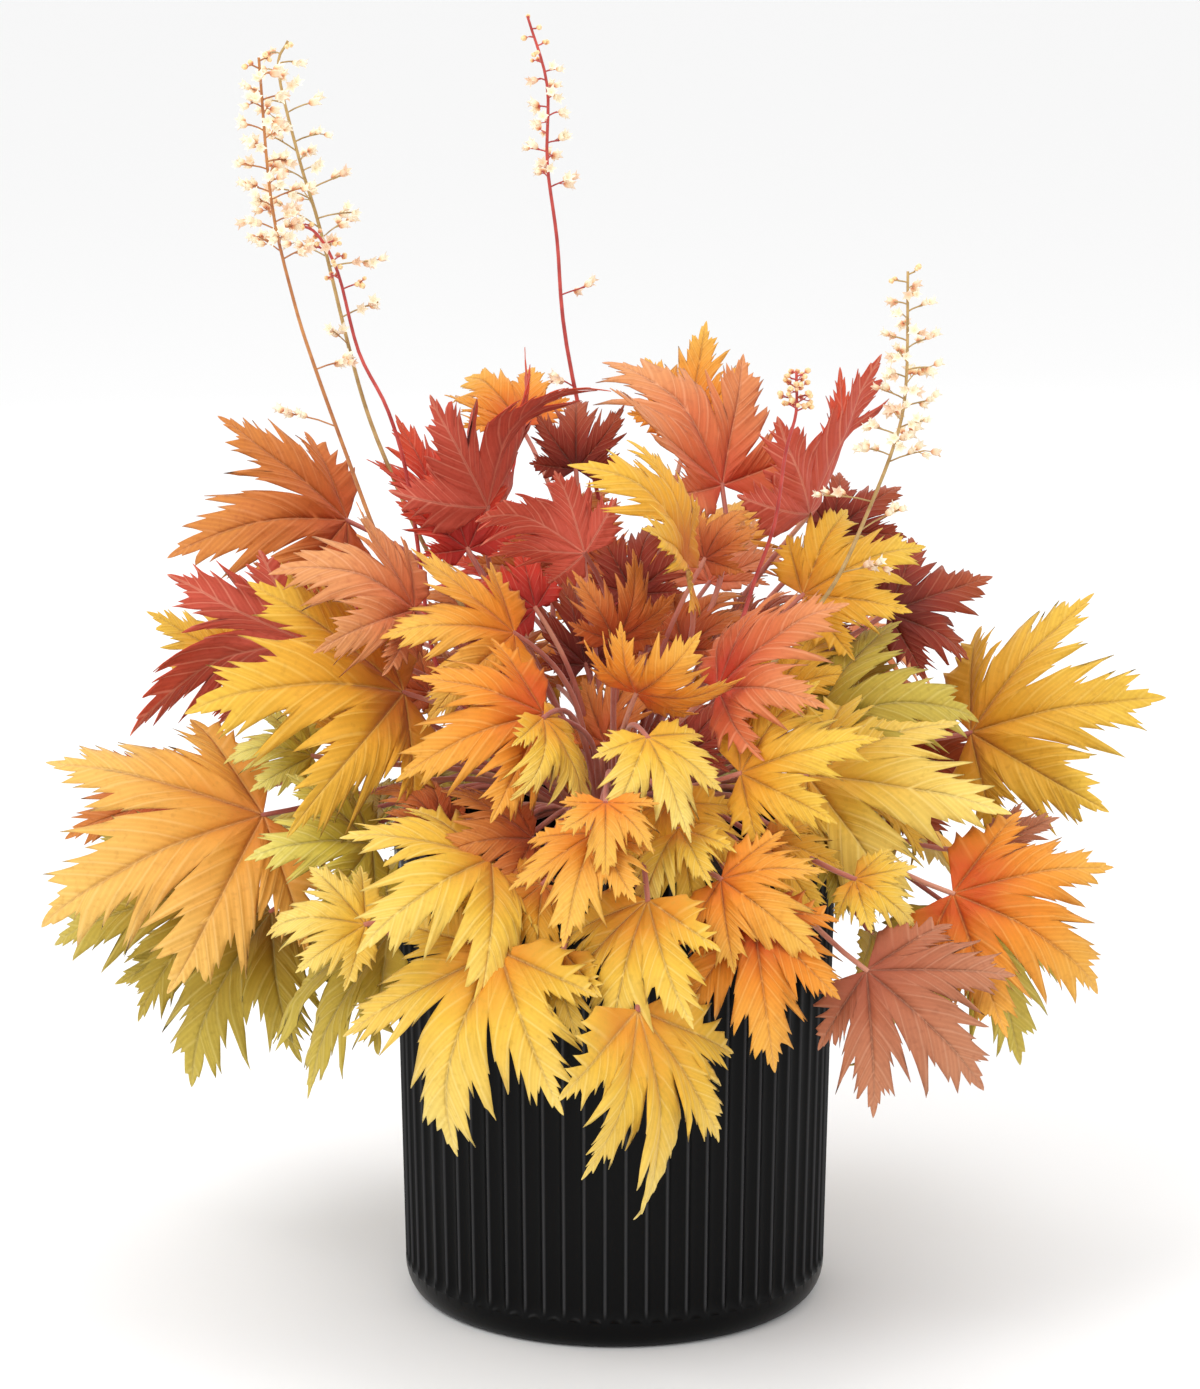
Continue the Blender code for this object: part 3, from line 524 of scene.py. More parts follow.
# Small inner leaves that close the clump between the large ones, by the piece that holds them.
# They all have the small leaf's lobes
INNER_LEAVES = {
    "leaf_top_left": [((-9, 6, 39.5), (-11.5, 8, 44), -10, 25, 30, "red")],
    "leaf_fan_left": [((-7.5, 3, 38), (-9.5, 5, 42.5), -20, 20, 30, "red")],
    "leaf_top_middle": [((-3, 8, 36.5), (-1, 10, 41), 0, 20, 30, "ember")],
    "leaf_inner_right": [
        ((1, 4, 35.5), (2, 6, 40), 10, 20, 30, "maroon"),
        ((3.5, 2, 33), (6, 4, 37), 10, 20, 30, "ember"),
    ],
    "leaf_inner_left": [
        ((-1.5, 3, 32), (-3, 5, 36.5), 0, 20, 30, "maroon"),
        ((-7, 4, 33), (-9.5, 6, 36.5), 0, 20, 30, "ember"),
        ((-9.5, 3, 30.5), (-13.5, 5, 32.5), -20, 10, 30, "ember"),
    ],
    "leaf_right_maroon": [((7, 4, 33), (9.5, 6, 36.5), 0, 20, 30, "maroon")],
    "leaf_ember": [
        ((-0.5, -2, 29), (1.5, 0, 33.5), 0, 20, 30, "ember"),
        ((3.5, -4, 29), (6.5, -2, 32), 20, 10, 30, "maroon"),
    ],
    "leaf_left_orange": [((-5, -3, 29), (-7.5, -1, 33), 0, 20, 30, "ember")],
    "leaves_left_pale": [
        ((-8.5, -8, 26), (-11.5, -7, 29), -20, 10, 30, "ember"),
        ((-4, -10, 26), (-8.5, -13.5, 26.5), -50, -10, 35, "ember"),
        ((-13.5, 3, 28), (-17.5, 4, 31), -20, 10, 30, "gold"),
    ],
    "leaves_front_low": [
        ((2.5, -11, 28), (4, -14.5, 23), 10, -10, 35, "gold"),
        ((3, -12, 27), (1, -16, 24), 0, -10, 35, "yellow"),
        ((-3.5, -13, 24.5), (-7.5, -15.5, 21), -30, -10, 35, "gold"),
    ],
    "leaves_low_right": [
        ((7, -10, 26), (10, -12.5, 22.5), 30, -10, 35, "gold"),
        ((10.5, -6, 25.5), (14.5, -8, 21.5), 30, -10, 35, "olive"),
    ],
    "leaves_right": [
        ((11.5, 6, 29), (15, 7, 33), 30, 10, 30, "olive"),
        ((8, 0, 31), (11.5, 1, 35), 30, 10, 30, "gold"),
    ],
    "leaves_left": [
        ((-12, 1, 25), (-17, 3, 21.5), -20, 0, 30, "olive"),
        ((-12, 6, 31), (-16.5, 8, 32), -20, 0, 30, "salmon"),
    ],
    "leaf_right_brown": [
        ((12, 0, 26), (17, 2.5, 23), 20, 0, 30, "gold"),
        ((12.5, 5, 30), (17, 7, 30.5), 20, 0, 30, "ember"),
    ],
    "leaf_back_top_left": [
        ((0, 9, 33), (0, 14.5, 36), 0, 10, 30, "orange"),
        ((-5, 10, 34), (-9, 14, 36), 0, 0, 30, "red"),
    ],
    "leaf_back_top_right": [((5, 10, 35), (8, 15, 37), 0, 0, 30, "salmon")],
    "leaf_back_left_upper": [
        ((-6, 9, 30), (-9, 14.5, 32), 0, 10, 30, "ember"),
        ((-10, 8, 33), (-14.5, 11, 34.5), 0, 0, 30, "red"),
    ],
    "leaf_back_left_lower": [
        ((-8, 8, 24), (-13, 13, 22.5), 0, 0, 30, "lime"),
        ((-8, 12, 28), (-12.5, 16, 27), 0, 0, 30, "gold"),
        ((-6, 13, 25), (-8, 17.5, 20), 0, 0, 30, "yellow"),
    ],
    "leaf_back_middle_upper": [
        ((-3, 12, 29), (-5, 18, 28), 0, 0, 30, "gold"),
        ((2, 11, 31.5), (5, 16, 33), 0, 0, 30, "ember"),
    ],
    "leaf_back_middle_lower": [
        ((0, 10, 26), (1, 16, 23.5), 0, 0, 30, "gold"),
        ((3.5, 13, 25), (5, 18, 19.5), 0, 0, 30, "lime"),
    ],
    "leaf_back_right_upper": [
        ((6, 9, 31), (9, 14.5, 33), 0, 10, 30, "gold"),
        ((10, 8, 33), (14, 11.5, 35), 0, 0, 30, "maroon"),
    ],
    "leaf_back_right_lower": [
        ((8, 8, 24), (13, 12, 22.5), 0, 0, 30, "yellow"),
        ((5, 13, 29), (8, 18, 28), 0, 0, 30, "yellow"),
        ((10, 12, 27), (15, 15, 25.5), 0, 0, 30, "orange"),
    ],
}


def lobes_of(lobes, rng):
    """The lobes' directions, lengths and sinuses, drawn in the order that the CAD leaf draws."""
    shaped = []
    for angle, length, width, right, left in lobes:
        side = angle != 0
        turn = math.radians(angle + side * rng.uniform(-4, 4))
        share = rng.uniform(0.88, 1.08) if side else 1
        shaped.append((turn, length * share, width, right, left))
    first, last = shaped[0], shaped[-1]
    seams = [(FLANK_REACH * first[1], first[0] - FLANK_ANGLE)]
    for near, far in zip(shaped, shaped[1:]):
        reach = SINUS * math.sqrt(near[1] * far[1]) * rng.uniform(0.9, 1.1)
        seams.append((reach, (near[0] + far[0]) / 2))
    seams.append((FLANK_REACH * last[1], last[0] + FLANK_ANGLE))
    lifts = [rng.uniform(-0.5, 0.1) for _ in shaped]
    return shaped, seams, lifts


def half_lobe(lobe, seam, sign, outer, rng):
    """One side of a lobe as rows of rays, flat: places, and how far along and across each is.

    The first rows end on the line to the sinus, or on the open flank, the others at the margin."""
    turn, length, width, right, left = lobe
    ray = FLANK_RAY_TURN if outer else RAY_TURN
    side_lobes = right if sign < 0 else left
    reach, seam_turn = seam
    apart = abs(seam_turn - turn)
    seam_along, seam_across = reach * math.cos(apart), reach * math.sin(apart)
    stops = [(seam_along - seam_across / math.tan(ray), seam_across / math.sin(ray))]
    for share, wide in MARGINS[side_lobes]:
        along, across = share * length, wide * width
        if outer:
            across *= OPEN_FLANK_WIDTH
        start = max(along - across / math.tan(ray), stops[-1][0] + STOP_SPACING)
        stops.append((start, across / math.sin(ray)))
    stops.append((length, 0.0))
    teeth = TEETH[side_lobes]
    first = stops[0][0]
    rows = [(first * row / ROOT_ROWS, None, 2.0 * row / ROOT_ROWS + FIRST_VEIN)
            for row in range(ROOT_ROWS)]
    span = length - first
    sizes = [rng.uniform(*TOOTH_SIZES) for _ in range(teeth)]
    shifts = [0.0, *(rng.uniform(-TOOTH_SHIFT, TOOTH_SHIFT) for _ in range(teeth - 1)), 0.0]
    for tooth in range(teeth):
        low_end, high_end = tooth + shifts[tooth], tooth + 1 + shifts[tooth + 1]
        for phase, swell in TOOTH_SWELL:
            swell *= sizes[tooth]
            along = first + span * (low_end + (high_end - low_end) * phase) / teeth
            for (start, low), (end, high) in zip(stops, stops[1:]):
                if along <= end:
                    break
            share = (along - start) / (end - start)
            if high > low:
                wide = low + (high - low) * math.sin(share * math.pi / 2)
            else:
                wide = low + (high - low) * share ** NOTCH_CURVE
            fade = min(1.0, 2.5 * (1 - (along - first) / span), 5 * (along - first) / span)
            wide = max(NARROWEST, wide + TOOTH * swell * fade)
            if tooth == 0 and phase == 0.0:
                wide = low
            rows.append((along, wide, tooth + phase))
    rows.append((length, 0.0, float(teeth)))
    flat, veins = [], []
    for row, (along, wide, phase) in enumerate(rows):
        for step in range(ACROSS + 1):
            share = step / ACROSS
            if wide is None:
                part = row / ROOT_ROWS
                x = along + (seam_along * part - along) * share
                y = seam_across * part * share
            else:
                x = along + wide * math.cos(ray) * share
                y = wide * math.sin(ray) * share
            y *= sign
            flat.append((x * math.cos(turn) - y * math.sin(turn),
                         x * math.sin(turn) + y * math.cos(turn)))
            veins.append((phase + VEIN_SHIFT, abs(y), math.hypot(x, y)))
    faces = []
    for row in range(len(rows) - 1):
        for step in range(ACROSS):
            corner = row * (ACROSS + 1) + step
            face = (corner, corner + ACROSS + 1, corner + ACROSS + 2, corner + 1)
            faces.append(face if sign > 0 else face[::-1])
    return flat, veins, faces


def bent(flat, lobe_angles, lifts, cup, arch, height):
    """Flat places in three dimensions, as the CAD leaf bends them, with a relief laid on."""
    along, across = flat[:, 0], flat[:, 1]
    reach, turn = np.hypot(along, across), np.arctan2(across, along)
    for angle, lift in zip(lobe_angles, lifts):
        share = np.maximum(0.0, 1.0 - np.abs(turn - angle) / math.radians(41))
        height = height + lift * share * np.maximum(0.0, reach - 0.3) ** 2
    nearest = np.min([np.abs(turn - angle) for angle in lobe_angles], axis=0)
    dish = np.minimum(1.0, nearest / math.radians(21)) * np.maximum(0.0, 1.0 - 0.6 * reach)
    height = height + 0.14 * reach * dish
    if cup:
        bend = 2 * math.radians(cup)
        height = height + (1 - np.cos(bend * across)) / bend
        across = np.sin(bend * across) / bend
    half = math.radians(arch) / 2
    slope = 2 * half * (0.5 - along)
    scale = 0.5 / math.sin(half)
    ahead = scale * (math.sin(half) - np.sin(slope)) - height * np.sin(slope)
    up = scale * (np.cos(slope) - math.cos(half)) + height * np.cos(slope)
    return ahead, across, up


def leaf_axes(base, tip, roll):
    """A leaf's own directions: to its tip, to its left side, and out of its upper face."""
    ahead = (tip - base).normalized()
    heading = Vector((ahead.x, ahead.y, 0.0)).normalized()
    rise = math.asin(ahead.z)
    up = Vector((0, 0, 1)) * math.cos(rise) - heading * math.sin(rise)
    up = Matrix.Rotation(math.radians(roll), 3, ahead) @ up
    return ahead, up.cross(ahead), up


def crown_exit(base):
    """Where and which way a stalk leaves the crown."""
    away = (base - CROWN_CENTRE).normalized()
    lift = STALK_LIFT + LOW_LIFT * max(0.0, POT_HEIGHT + LIFT_BAND - base.z)
    leave = (away + Vector((0, 0, lift))).normalized()
    return CROWN_CENTRE + leave * (CROWN_RADIUS + GAP), leave


def stalk_route(start, leave, base, arrive, steps):
    """A smooth stalk: it leaves the crown one way and comes into the blade another."""
    reach = STALK_BEND * (base - start).length
    bends = (start, start + leave * reach, base - arrive * reach, base)
    route = []
    for step in range(steps + 1):
        t = step / steps
        route.append(sum(
            (bend * weight * (1 - t) ** (3 - k) * t ** k
             for k, (bend, weight) in enumerate(zip(bends, (1, 3, 3, 1)))), Vector((0, 0, 0))
        ))
    return route


def taper(ends, count):
    """Radii that run evenly from one end's to the other's."""
    thick, thin = ends
    return [thick + (thin - thick) * step / (count - 1) for step in range(count)]


def rods(name, routes, resolution):
    """Round rods as one object. Each route is its points and its radius at every point."""
    curve = bpy.data.curves.new(name, "CURVE")
    curve.dimensions = "3D"
    curve.bevel_depth = 1.0
    curve.bevel_resolution = resolution
    curve.use_fill_caps = True
    for points, radii in routes:
        spline = curve.splines.new("POLY")
        spline.points.add(len(points) - 1)
        for target, point, radius in zip(spline.points, points, radii):
            target.co = (*point, 1.0)
            target.radius = radius
    made = bpy.data.objects.new(name, curve)
    mesh = bpy.data.meshes.new_from_object(made)
    bpy.data.objects.remove(made)
    return bpy.data.objects.new(name, mesh)


def join_pieces(pieces, name):
    """Joins pieces that are in the scene into the first one, and names it."""
    clear_selection()
    for piece in pieces:
        piece.select_set(True)
    bpy.context.view_layer.objects.active = pieces[0]
    bpy.ops.object.join()
    made = bpy.context.object
    made.name = made.data.name = name
    return made


def leaf_parts(seed, leaf, start):
    """A leaf's blade as points, faces and vein places, and its stalk's route."""
    base, tip, roll, cup, arch, lobes, _ = leaf
    base, tip = Vector(base) * CM, Vector(tip) * CM
    size = (tip - base).length
    ahead, side, up = leaf_axes(base, tip, roll)
    shaped, seams, lifts = lobes_of(lobes, random.Random(seed))
    waves = random.Random(WAVE_SEED + seed)
    flat, veins, relief, faces = [], [], [], []
    for index, lobe in enumerate(shaped):
        curl, twist = waves.uniform(*CURL), waves.uniform(*TWIST)
        wave_phase = waves.uniform(0, math.tau)
        for sign, seam in ((-1, seams[index]), (1, seams[index + 1])):
            outer = (index == 0 and sign < 0) or (index == len(shaped) - 1 and sign > 0)
            places, grain, quads = half_lobe(lobe, seam, sign, outer, waves)
            faces += [tuple(len(flat) + corner for corner in quad) for quad in quads]
            flat += places
            veins += grain
            for phase, aside, out in grain:
                beyond = max(0.0, out - 0.30)
                pleat = PLEAT * math.cos(math.tau * phase) * min(1.0, 14 * aside)
                sink = MIDRIB_SINK * math.exp(-aside / MIDRIB_WIDTH)
                sink = sink * min(1.0, 4 * out) * (1.0 - out)
                wave = WAVE * math.sin(11 * out + wave_phase + 20 * aside * sign)
                relief.append(
                    pleat - sink + wave * min(1.0, 3 * beyond) + curl * beyond ** 2
                    + 3.0 * twist * sign * aside * beyond - 2.0 * aside ** 2 * min(1.0, 3 * beyond)
                )
    flat = np.array(flat)
    angles = [lobe[0] for lobe in shaped]
    along, across, height = bent(flat, angles, lifts, cup, arch, np.array(relief))
    own_axes = np.array([ahead, side, up])
    points = np.array(base) + size * np.column_stack([along, across, height]) @ own_axes

    own_start, leave = crown_exit(base)
    arrive = (0.7 * (base - CROWN_CENTRE).normalized() + 0.5 * ahead - 0.25 * up).normalized()
    end = base + arrive * STALK_OVERLAP
    route = stalk_route(start or own_start, leave, end, arrive, STALK_STEPS)
    return points, veins, faces, route


# Colours of a leaf: its throat, middle and tips above, its lower face, and its veins
TONES = {
    "red": ((0.36, 0.016, 0.010), (0.58, 0.032, 0.014), (0.64, 0.085, 0.028),
            (0.60, 0.10, 0.06), (0.80, 0.30, 0.20)),
    "maroon": ((0.13, 0.012, 0.006), (0.28, 0.028, 0.010), (0.44, 0.10, 0.028),
               (0.36, 0.07, 0.04), (0.55, 0.20, 0.11)),
    "ember": ((0.30, 0.035, 0.012), (0.50, 0.095, 0.018), (0.66, 0.24, 0.045),
              (0.50, 0.13, 0.05), (0.70, 0.30, 0.12)),
    "salmon": ((0.50, 0.045, 0.018), (0.64, 0.15, 0.050), (0.72, 0.31, 0.11),
               (0.68, 0.20, 0.10), (0.84, 0.42, 0.24)),
    "orange": ((0.60, 0.090, 0.010), (0.78, 0.25, 0.018), (0.83, 0.47, 0.075),
               (0.64, 0.25, 0.06), (0.86, 0.48, 0.14)),
    "peach": ((0.64, 0.15, 0.025), (0.79, 0.34, 0.050), (0.85, 0.53, 0.13),
              (0.70, 0.33, 0.11), (0.88, 0.56, 0.22)),
    "gold": ((0.50, 0.13, 0.012), (0.74, 0.33, 0.020), (0.82, 0.52, 0.060),
             (0.56, 0.33, 0.06), (0.86, 0.58, 0.15)),
    "yellow": ((0.70, 0.27, 0.020), (0.80, 0.47, 0.045), (0.87, 0.66, 0.17),
               (0.66, 0.46, 0.11), (0.88, 0.70, 0.27)),
    "lime": ((0.44, 0.30, 0.025), (0.62, 0.47, 0.050), (0.80, 0.68, 0.18),
             (0.55, 0.45, 0.12), (0.82, 0.72, 0.30)),
    # The olive tone paints shade into the colour: it is the dull brownish olive of leaves that lie
    # in shade, low in the clump and at its back
    "olive": ((0.26, 0.14, 0.012), (0.42, 0.28, 0.022), (0.60, 0.46, 0.075),
              (0.40, 0.30, 0.07), (0.66, 0.54, 0.18)),
    "mauve": ((0.30, 0.060, 0.030), (0.42, 0.12, 0.055), (0.54, 0.22, 0.11),
              (0.40, 0.15, 0.09), (0.62, 0.32, 0.20)),
}


def leaf_finishes(tone, colours):
    """The upper and lower faces of a leaf's blade."""
    throat, middle, tip_colour, under, vein = colours
    made = []
    for side in ("upper", "lower"):
        finish, field, shader = new_finish(
            "leaf_%s_%s" % (tone, side), 0.6, sheen=0.05, shine=0.25
        )
        place = coordinates(field)
        grain = field.node("Attribute", {"attribute_name": "grain"}, output=1)
        phase, aside, out = grain.axes()
        own = field.node("Attribute", {"attribute_name": "own"}, output=2)
        cloud = speckle(field, place, 28.0, 4.0)
        fine = speckle(field, place, 300.0, 3.0)
        level = out * 0.9 + 0.35 * (cloud - 0.5) + 0.3 * (own - 0.5)
        if side == "upper":
            stops = ((0.02, throat), (0.30, middle), (0.78, tip_colour))
        else:
            blend = tuple(0.6 * a + 0.4 * b for a, b in zip(under, tip_colour))
            stops = ((0.02, under), (0.45, under), (0.90, blend))
        colour = field.node("ValToRGB", {"stops": stops}, {"Fac": level})
        rib = field.maths("ABSOLUTE", phase - field.maths("ROUND", phase))
        side_vein = (1 - rib.between(0.02, 0.12)) * out.between(0.10, 0.42)
        hair_vein = field.maths("ABSOLUTE", field.maths("SINE", phase * (3.0 * math.pi)))
        midrib = 1 - aside.between(0.002, 0.010)
        shade = tuple(0.62 * c for c in middle)
        colour = colour.over((*shade, 1.0), fine.between(0.50, 0.80) * 0.35)
        colour = colour.over((*shade, 1.0), hair_vein * out.between(0.10, 0.45) * 0.22)
        colour = colour.over((*vein, 1.0), side_vein * (0.25 if side == "upper" else 0.5))
        colour = colour.over((*vein, 1.0), midrib * (0.30 if side == "upper" else 0.6))
        feed(finish, shader, "Base Color", colour)
        way = -1.0 if side == "upper" else 1.0
        height = (side_vein * 0.5 + midrib * 0.7) * way + 0.30 * hair_vein + 0.6 * fine
        feed(finish, shader, "Normal", bumps(field, 0.45, 0.0006, height))
        made.append(finish)
    return made


stalk_finish, field, shader = new_finish("pink_leaf_stalk", 0.6, sheen=0.3)
place = coordinates(field)
stalk_colour = field.node("ValToRGB", {"stops": (
    (0.35, (0.36, 0.075, 0.05)), (0.55, (0.55, 0.17, 0.11)), (0.72, (0.68, 0.33, 0.20)),
)}, {"Fac": speckle(field, place, 22.0)})
feed(stalk_finish, shader, "Base Color", stalk_colour)
feed(stalk_finish, shader, "Normal", bumps(field, 0.4, 0.0006, speckle(field, place, 900.0)))

finishes = {tone: leaf_finishes(tone, colours) for tone, colours in TONES.items()}
seed = 0
inner_seed = FIRST_INNER_SEED
for node, leaves in LEAVES.items():
    start = None
    if len(leaves) > 1:
        exits = [crown_exit(Vector(leaf[0]) * CM)[1] for leaf in leaves]
        leave = sum(exits, Vector((0, 0, 0))).normalized()
        start = CROWN_CENTRE + leave * (CROWN_RADIUS + GAP)
    pieces = []
    inner_leaves = [(*leaf[:5], SMALL_LEAF, leaf[5]) for leaf in INNER_LEAVES.get(node, [])]
    for leaf in leaves + inner_leaves:
        inner = leaf not in leaves
        number = inner_seed if inner else seed
        points, veins, faces, route = leaf_parts(number, leaf, None if inner else start)
        mesh = bpy.data.meshes.new("blade")
        mesh.from_pydata(points.tolist(), [], faces)
        grain = mesh.attributes.new("grain", "FLOAT_VECTOR", "POINT")
        grain.data.foreach_set("vector", np.array(veins, dtype=float).ravel())
        own = mesh.attributes.new("own", "FLOAT", "POINT")
        tint = random.Random(TINT_SEED + number).random()
        own.data.foreach_set("value", [tint] * len(points))
        blade = bpy.data.objects.new("blade", mesh)
        scene.collection.objects.link(blade)
        for finish in finishes[leaf[6]]:
            mesh.materials.append(finish)
        only(blade)
        bpy.ops.object.mode_set(mode="EDIT")
        bpy.ops.mesh.select_all(action="SELECT")
        bpy.ops.mesh.remove_doubles(threshold=2e-5)
        bpy.ops.object.mode_set(mode="OBJECT")
        bpy.ops.object.shade_smooth()
        wall = blade.modifiers.new("thickness", "SOLIDIFY")
        wall.thickness = BLADE_THICKNESS
        wall.offset = 0.0
        wall.material_offset = 1
        bpy.ops.object.modifier_apply(modifier=wall.name)
        stalk = rods("stalk", [(route, taper(STALK_RADII, len(route)))], 1)
        stalk.data.materials.append(stalk_finish)
        stalk.data.shade_smooth()
        scene.collection.objects.link(stalk)
        pieces += [blade, stalk]
        if inner:
            inner_seed += 1
        else:
            seed += 1
    made = join_pieces(pieces, "fine_" + node)
    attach(made, "root")
    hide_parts(node)

# The flower stems. Each rises from the crown on a smooth wiry stem. Short branchlets leave it all
# round, and carry rows of small cream bells with five pointed petals, or round buds near the top.

GOLDEN_ANGLE = math.radians(137.5)
FLOWER_STEM_RADII = (0.0014, 0.0007)
BRANCHLET_RADIUS = 0.00042
PEDICEL_RADIUS = 0.00026
BELL_SIZE = 0.0052
BUD_SIZE = 0.0034
STEM_STEPS_PER_POINT = 5
PEDICEL_LENGTHS = (0.0012, 0.0032)
BLOOM_SEED = 200

# Each flower stem: points from low to high in centimetres, where its flowers start as a share
# of that length, and the longest branchlet
FLOWER_STEMS = {
    "flower_stem_left": (
        ((-10.5, 0.5, 36), (-12, 1, 39), (-13.5, 1.5, 43), (-15, 1, 47.5), (-16, 0.5, 51),
         (-17, 0, 56), (-17.5, 0, 63)), 0.64, 1.7),
    "flower_stem_rear": (
        ((-11, 5, 40.5), (-12.5, 6, 44), (-13.5, 6, 47.5), (-15, 6, 54), (-16, 6, 57.5),
         (-17, 6, 62), (-16.5, 6, 63.5)), 0.50, 2.6),
    "flower_stem_curved": (
        ((-9.5, 3, 33.5), (-10.5, 4, 41), (-11.5, 3.5, 45), (-13, 4, 48), (-14, 4, 52),
         (-15, 3.5, 54), (-16, 3.5, 54.5)), 0.80, 0.9),
    "flower_stem_centre": (
        ((-0.5, 9.5, 38), (-2.5, 10.5, 47.5), (-3, 11, 53), (-3.5, 11, 57), (-3.5, 11, 61),
         (-4.5, 11, 64.5)), 0.66, 0.8),
    "flower_stem_short": (
        ((6.5, -1, 35.5), (7, -0.5, 37), (8, -0.5, 40), (8.5, -0.5, 43.5), (9, -0.5, 45.5),
         (9, -0.5, 47.5)), 0.84, 0.7),
    "flower_stem_right": (
        ((9, -2, 34.5), (11, -1, 37), (12.5, 0, 40), (14, 0, 44), (14.5, 0, 47),
         (14.5, 0, 52.5)), 0.50, 1.7),
}

# How each one blooms: its colour, how many branchlets it has, how many flowers each carries, from
# which share of the way up they are buds, and single low branchlets as share, turn and length
BLOOMS = {
    "flower_stem_left": ("orange", 27, 5, 0.93, ((0.33, 190, 2.6), (0.44, 20, 1.6))),
    "flower_stem_rear": ("tan", 24, 4, 0.95, ((0.34, 250, 1.8), (0.40, -10, 2.2))),
    "flower_stem_curved": ("red", 9, 4, 0.0, ()),
    "flower_stem_centre": ("red", 20, 3, 0.72, ((0.28, 175, 0.9), (0.46, 5, 1.3))),
    "flower_stem_short": ("red", 15, 4, 0.0, ()),
    "flower_stem_right": ("tan", 27, 4, 0.94, ((0.20, 0, 1.8), (0.32, 10, 2.4), (0.40, 185, 2.2))),
}
STALK_COLOURS = {
    "orange": ((0.34, 0.10, 0.025), (0.62, 0.26, 0.07)),
    "tan": ((0.32, 0.19, 0.05), (0.60, 0.40, 0.15)),
    "red": ((0.36, 0.022, 0.020), (0.62, 0.075, 0.055)),
}
# Outlines of a bell and a bud as radius and height, both as shares of the size
BELL = ((0.10, 0.0), (0.30, 0.18), (0.38, 0.50), (0.33, 0.76))
BUD = ((0.16, 0.0), (0.42, 0.30), (0.36, 0.72))
BUD_TIP = 0.92
PETAL_TIP = (0.62, 1.05)
PETAL_NOTCH = (0.34, 0.80)
BELL_THROAT = 0.46
FOOT_SINK = 0.02
PETALS = 5
BLUSH = (0.82, 0.42, 0.24, 1.0)


def flower_shape(outline, open_mouth):
    """A five-sided bell or bud as points and faces, closed all round, standing on its stalk."""
    def add(radius, turn, height):
        points.append((radius * math.cos(turn), radius * math.sin(turn), height))

    points, faces = [(0.0, 0.0, -FOOT_SINK)], []
    for radius, height in outline:
        for petal in range(PETALS):
            add(radius, math.tau * petal / PETALS, height)
    last = 1 + PETALS * (len(outline) - 1)
    for petal in range(PETALS):
        faces.append((0, 1 + (petal + 1) % PETALS, 1 + petal))
        for ring in range(len(outline) - 1):
            near = 1 + PETALS * ring + petal
            far = 1 + PETALS * ring + (petal + 1) % PETALS
            faces.append((near, far, far + PETALS, near + PETALS))
    if not open_mouth:
        points.append((0.0, 0.0, BUD_TIP))
        end = len(points) - 1
        faces += [(last + petal, last + (petal + 1) % PETALS, end) for petal in range(PETALS)]
        return points, faces
    for petal in range(PETALS):
        turn = math.tau * petal / PETALS
        add(PETAL_TIP[0], turn, PETAL_TIP[1])
        add(PETAL_NOTCH[0], turn + math.pi / PETALS, PETAL_NOTCH[1])
    points.append((0.0, 0.0, BELL_THROAT))
    end = len(points) - 1
    rim = last + PETALS
    for petal in range(PETALS):
        tip, notch = rim + 2 * petal, rim + 2 * petal + 1
        before = rim + 2 * ((petal - 1) % PETALS) + 1
        near, far = last + petal, last + (petal + 1) % PETALS
        faces += [(near, far, notch), (near, notch, tip), (before, near, tip)]
        faces += [(tip, notch, end), (before, tip, end)]
    return points, faces


def smooth_route(points, steps):
    """A smooth line that passes through every point."""
    ends = [points[0] * 2 - points[1]] + list(points) + [points[-1] * 2 - points[-2]]
    route = []
    for before, near, far, after in zip(ends, ends[1:], ends[2:], ends[3:]):
        for step in range(steps):
            t = step / steps
            route.append(
                near + (far - before) * (0.5 * t)
                + (before * 2 - near * 5 + far * 4 - after) * (0.5 * t * t)
                + (near * 3 - before - far * 3 + after) * (0.5 * t ** 3)
            )
    return route + [points[-1]]


def point_along(points, share):
    """The point at a share of the length of a line of points, and the line's direction there."""
    spans = [(far - near).length for near, far in zip(points, points[1:])]
    left = share * sum(spans)
    for near, far, span in zip(points, points[1:], spans):
        if left <= span:
            break
        left -= span
    return near.lerp(far, min(1.0, left / span)), (far - near).normalized()


def branchlet(root, out, length, flowers, rng):
    """A branchlet's route, and its flowers as the two ends of a stalk and a direction."""
    lift = Vector((0, 0, 1))
    heading = (out + lift * rng.uniform(0.25, 0.75)).normalized()
    bow = (out - lift * 0.8) * length * rng.uniform(0.05, 0.25)
    route = [root + heading * length * t + bow * t * t for t in (0.0, 0.35, 0.7, 1.0)]
    borne = []
    for flower in range(flowers):
        share = 1.0 if flower == 0 else 1.0 - flower * 0.68 / flowers
        foot, course = point_along(route, share)
        side = course.cross(lift).normalized() * (1 if flower % 2 else -1)
        spread = side * rng.uniform(0.2, 1.0) * (flower > 0)
        aim = course * 0.8 + spread + lift * rng.uniform(-0.5, 0.5)
        aim.normalize()
        reach = rng.uniform(*PEDICEL_LENGTHS)
        borne.append((foot, foot + aim * reach, aim))
    return route, borne


stalk_finishes = {}
for name, (deep, light) in STALK_COLOURS.items():
    finish, field, shader = new_finish("flower_stalk_" + name, 0.5, sheen=0.2)
    place = coordinates(field)
    feed(finish, shader, "Base Color", field.node(
        "ValToRGB", {"stops": ((0.30, deep), (0.70, light))}, {"Fac": speckle(field, place, 120.0)}
    ))
    feed(finish, shader, "Normal", bumps(field, 0.4, 0.0004, speckle(field, place, 1400.0)))
    stalk_finishes[name] = finish

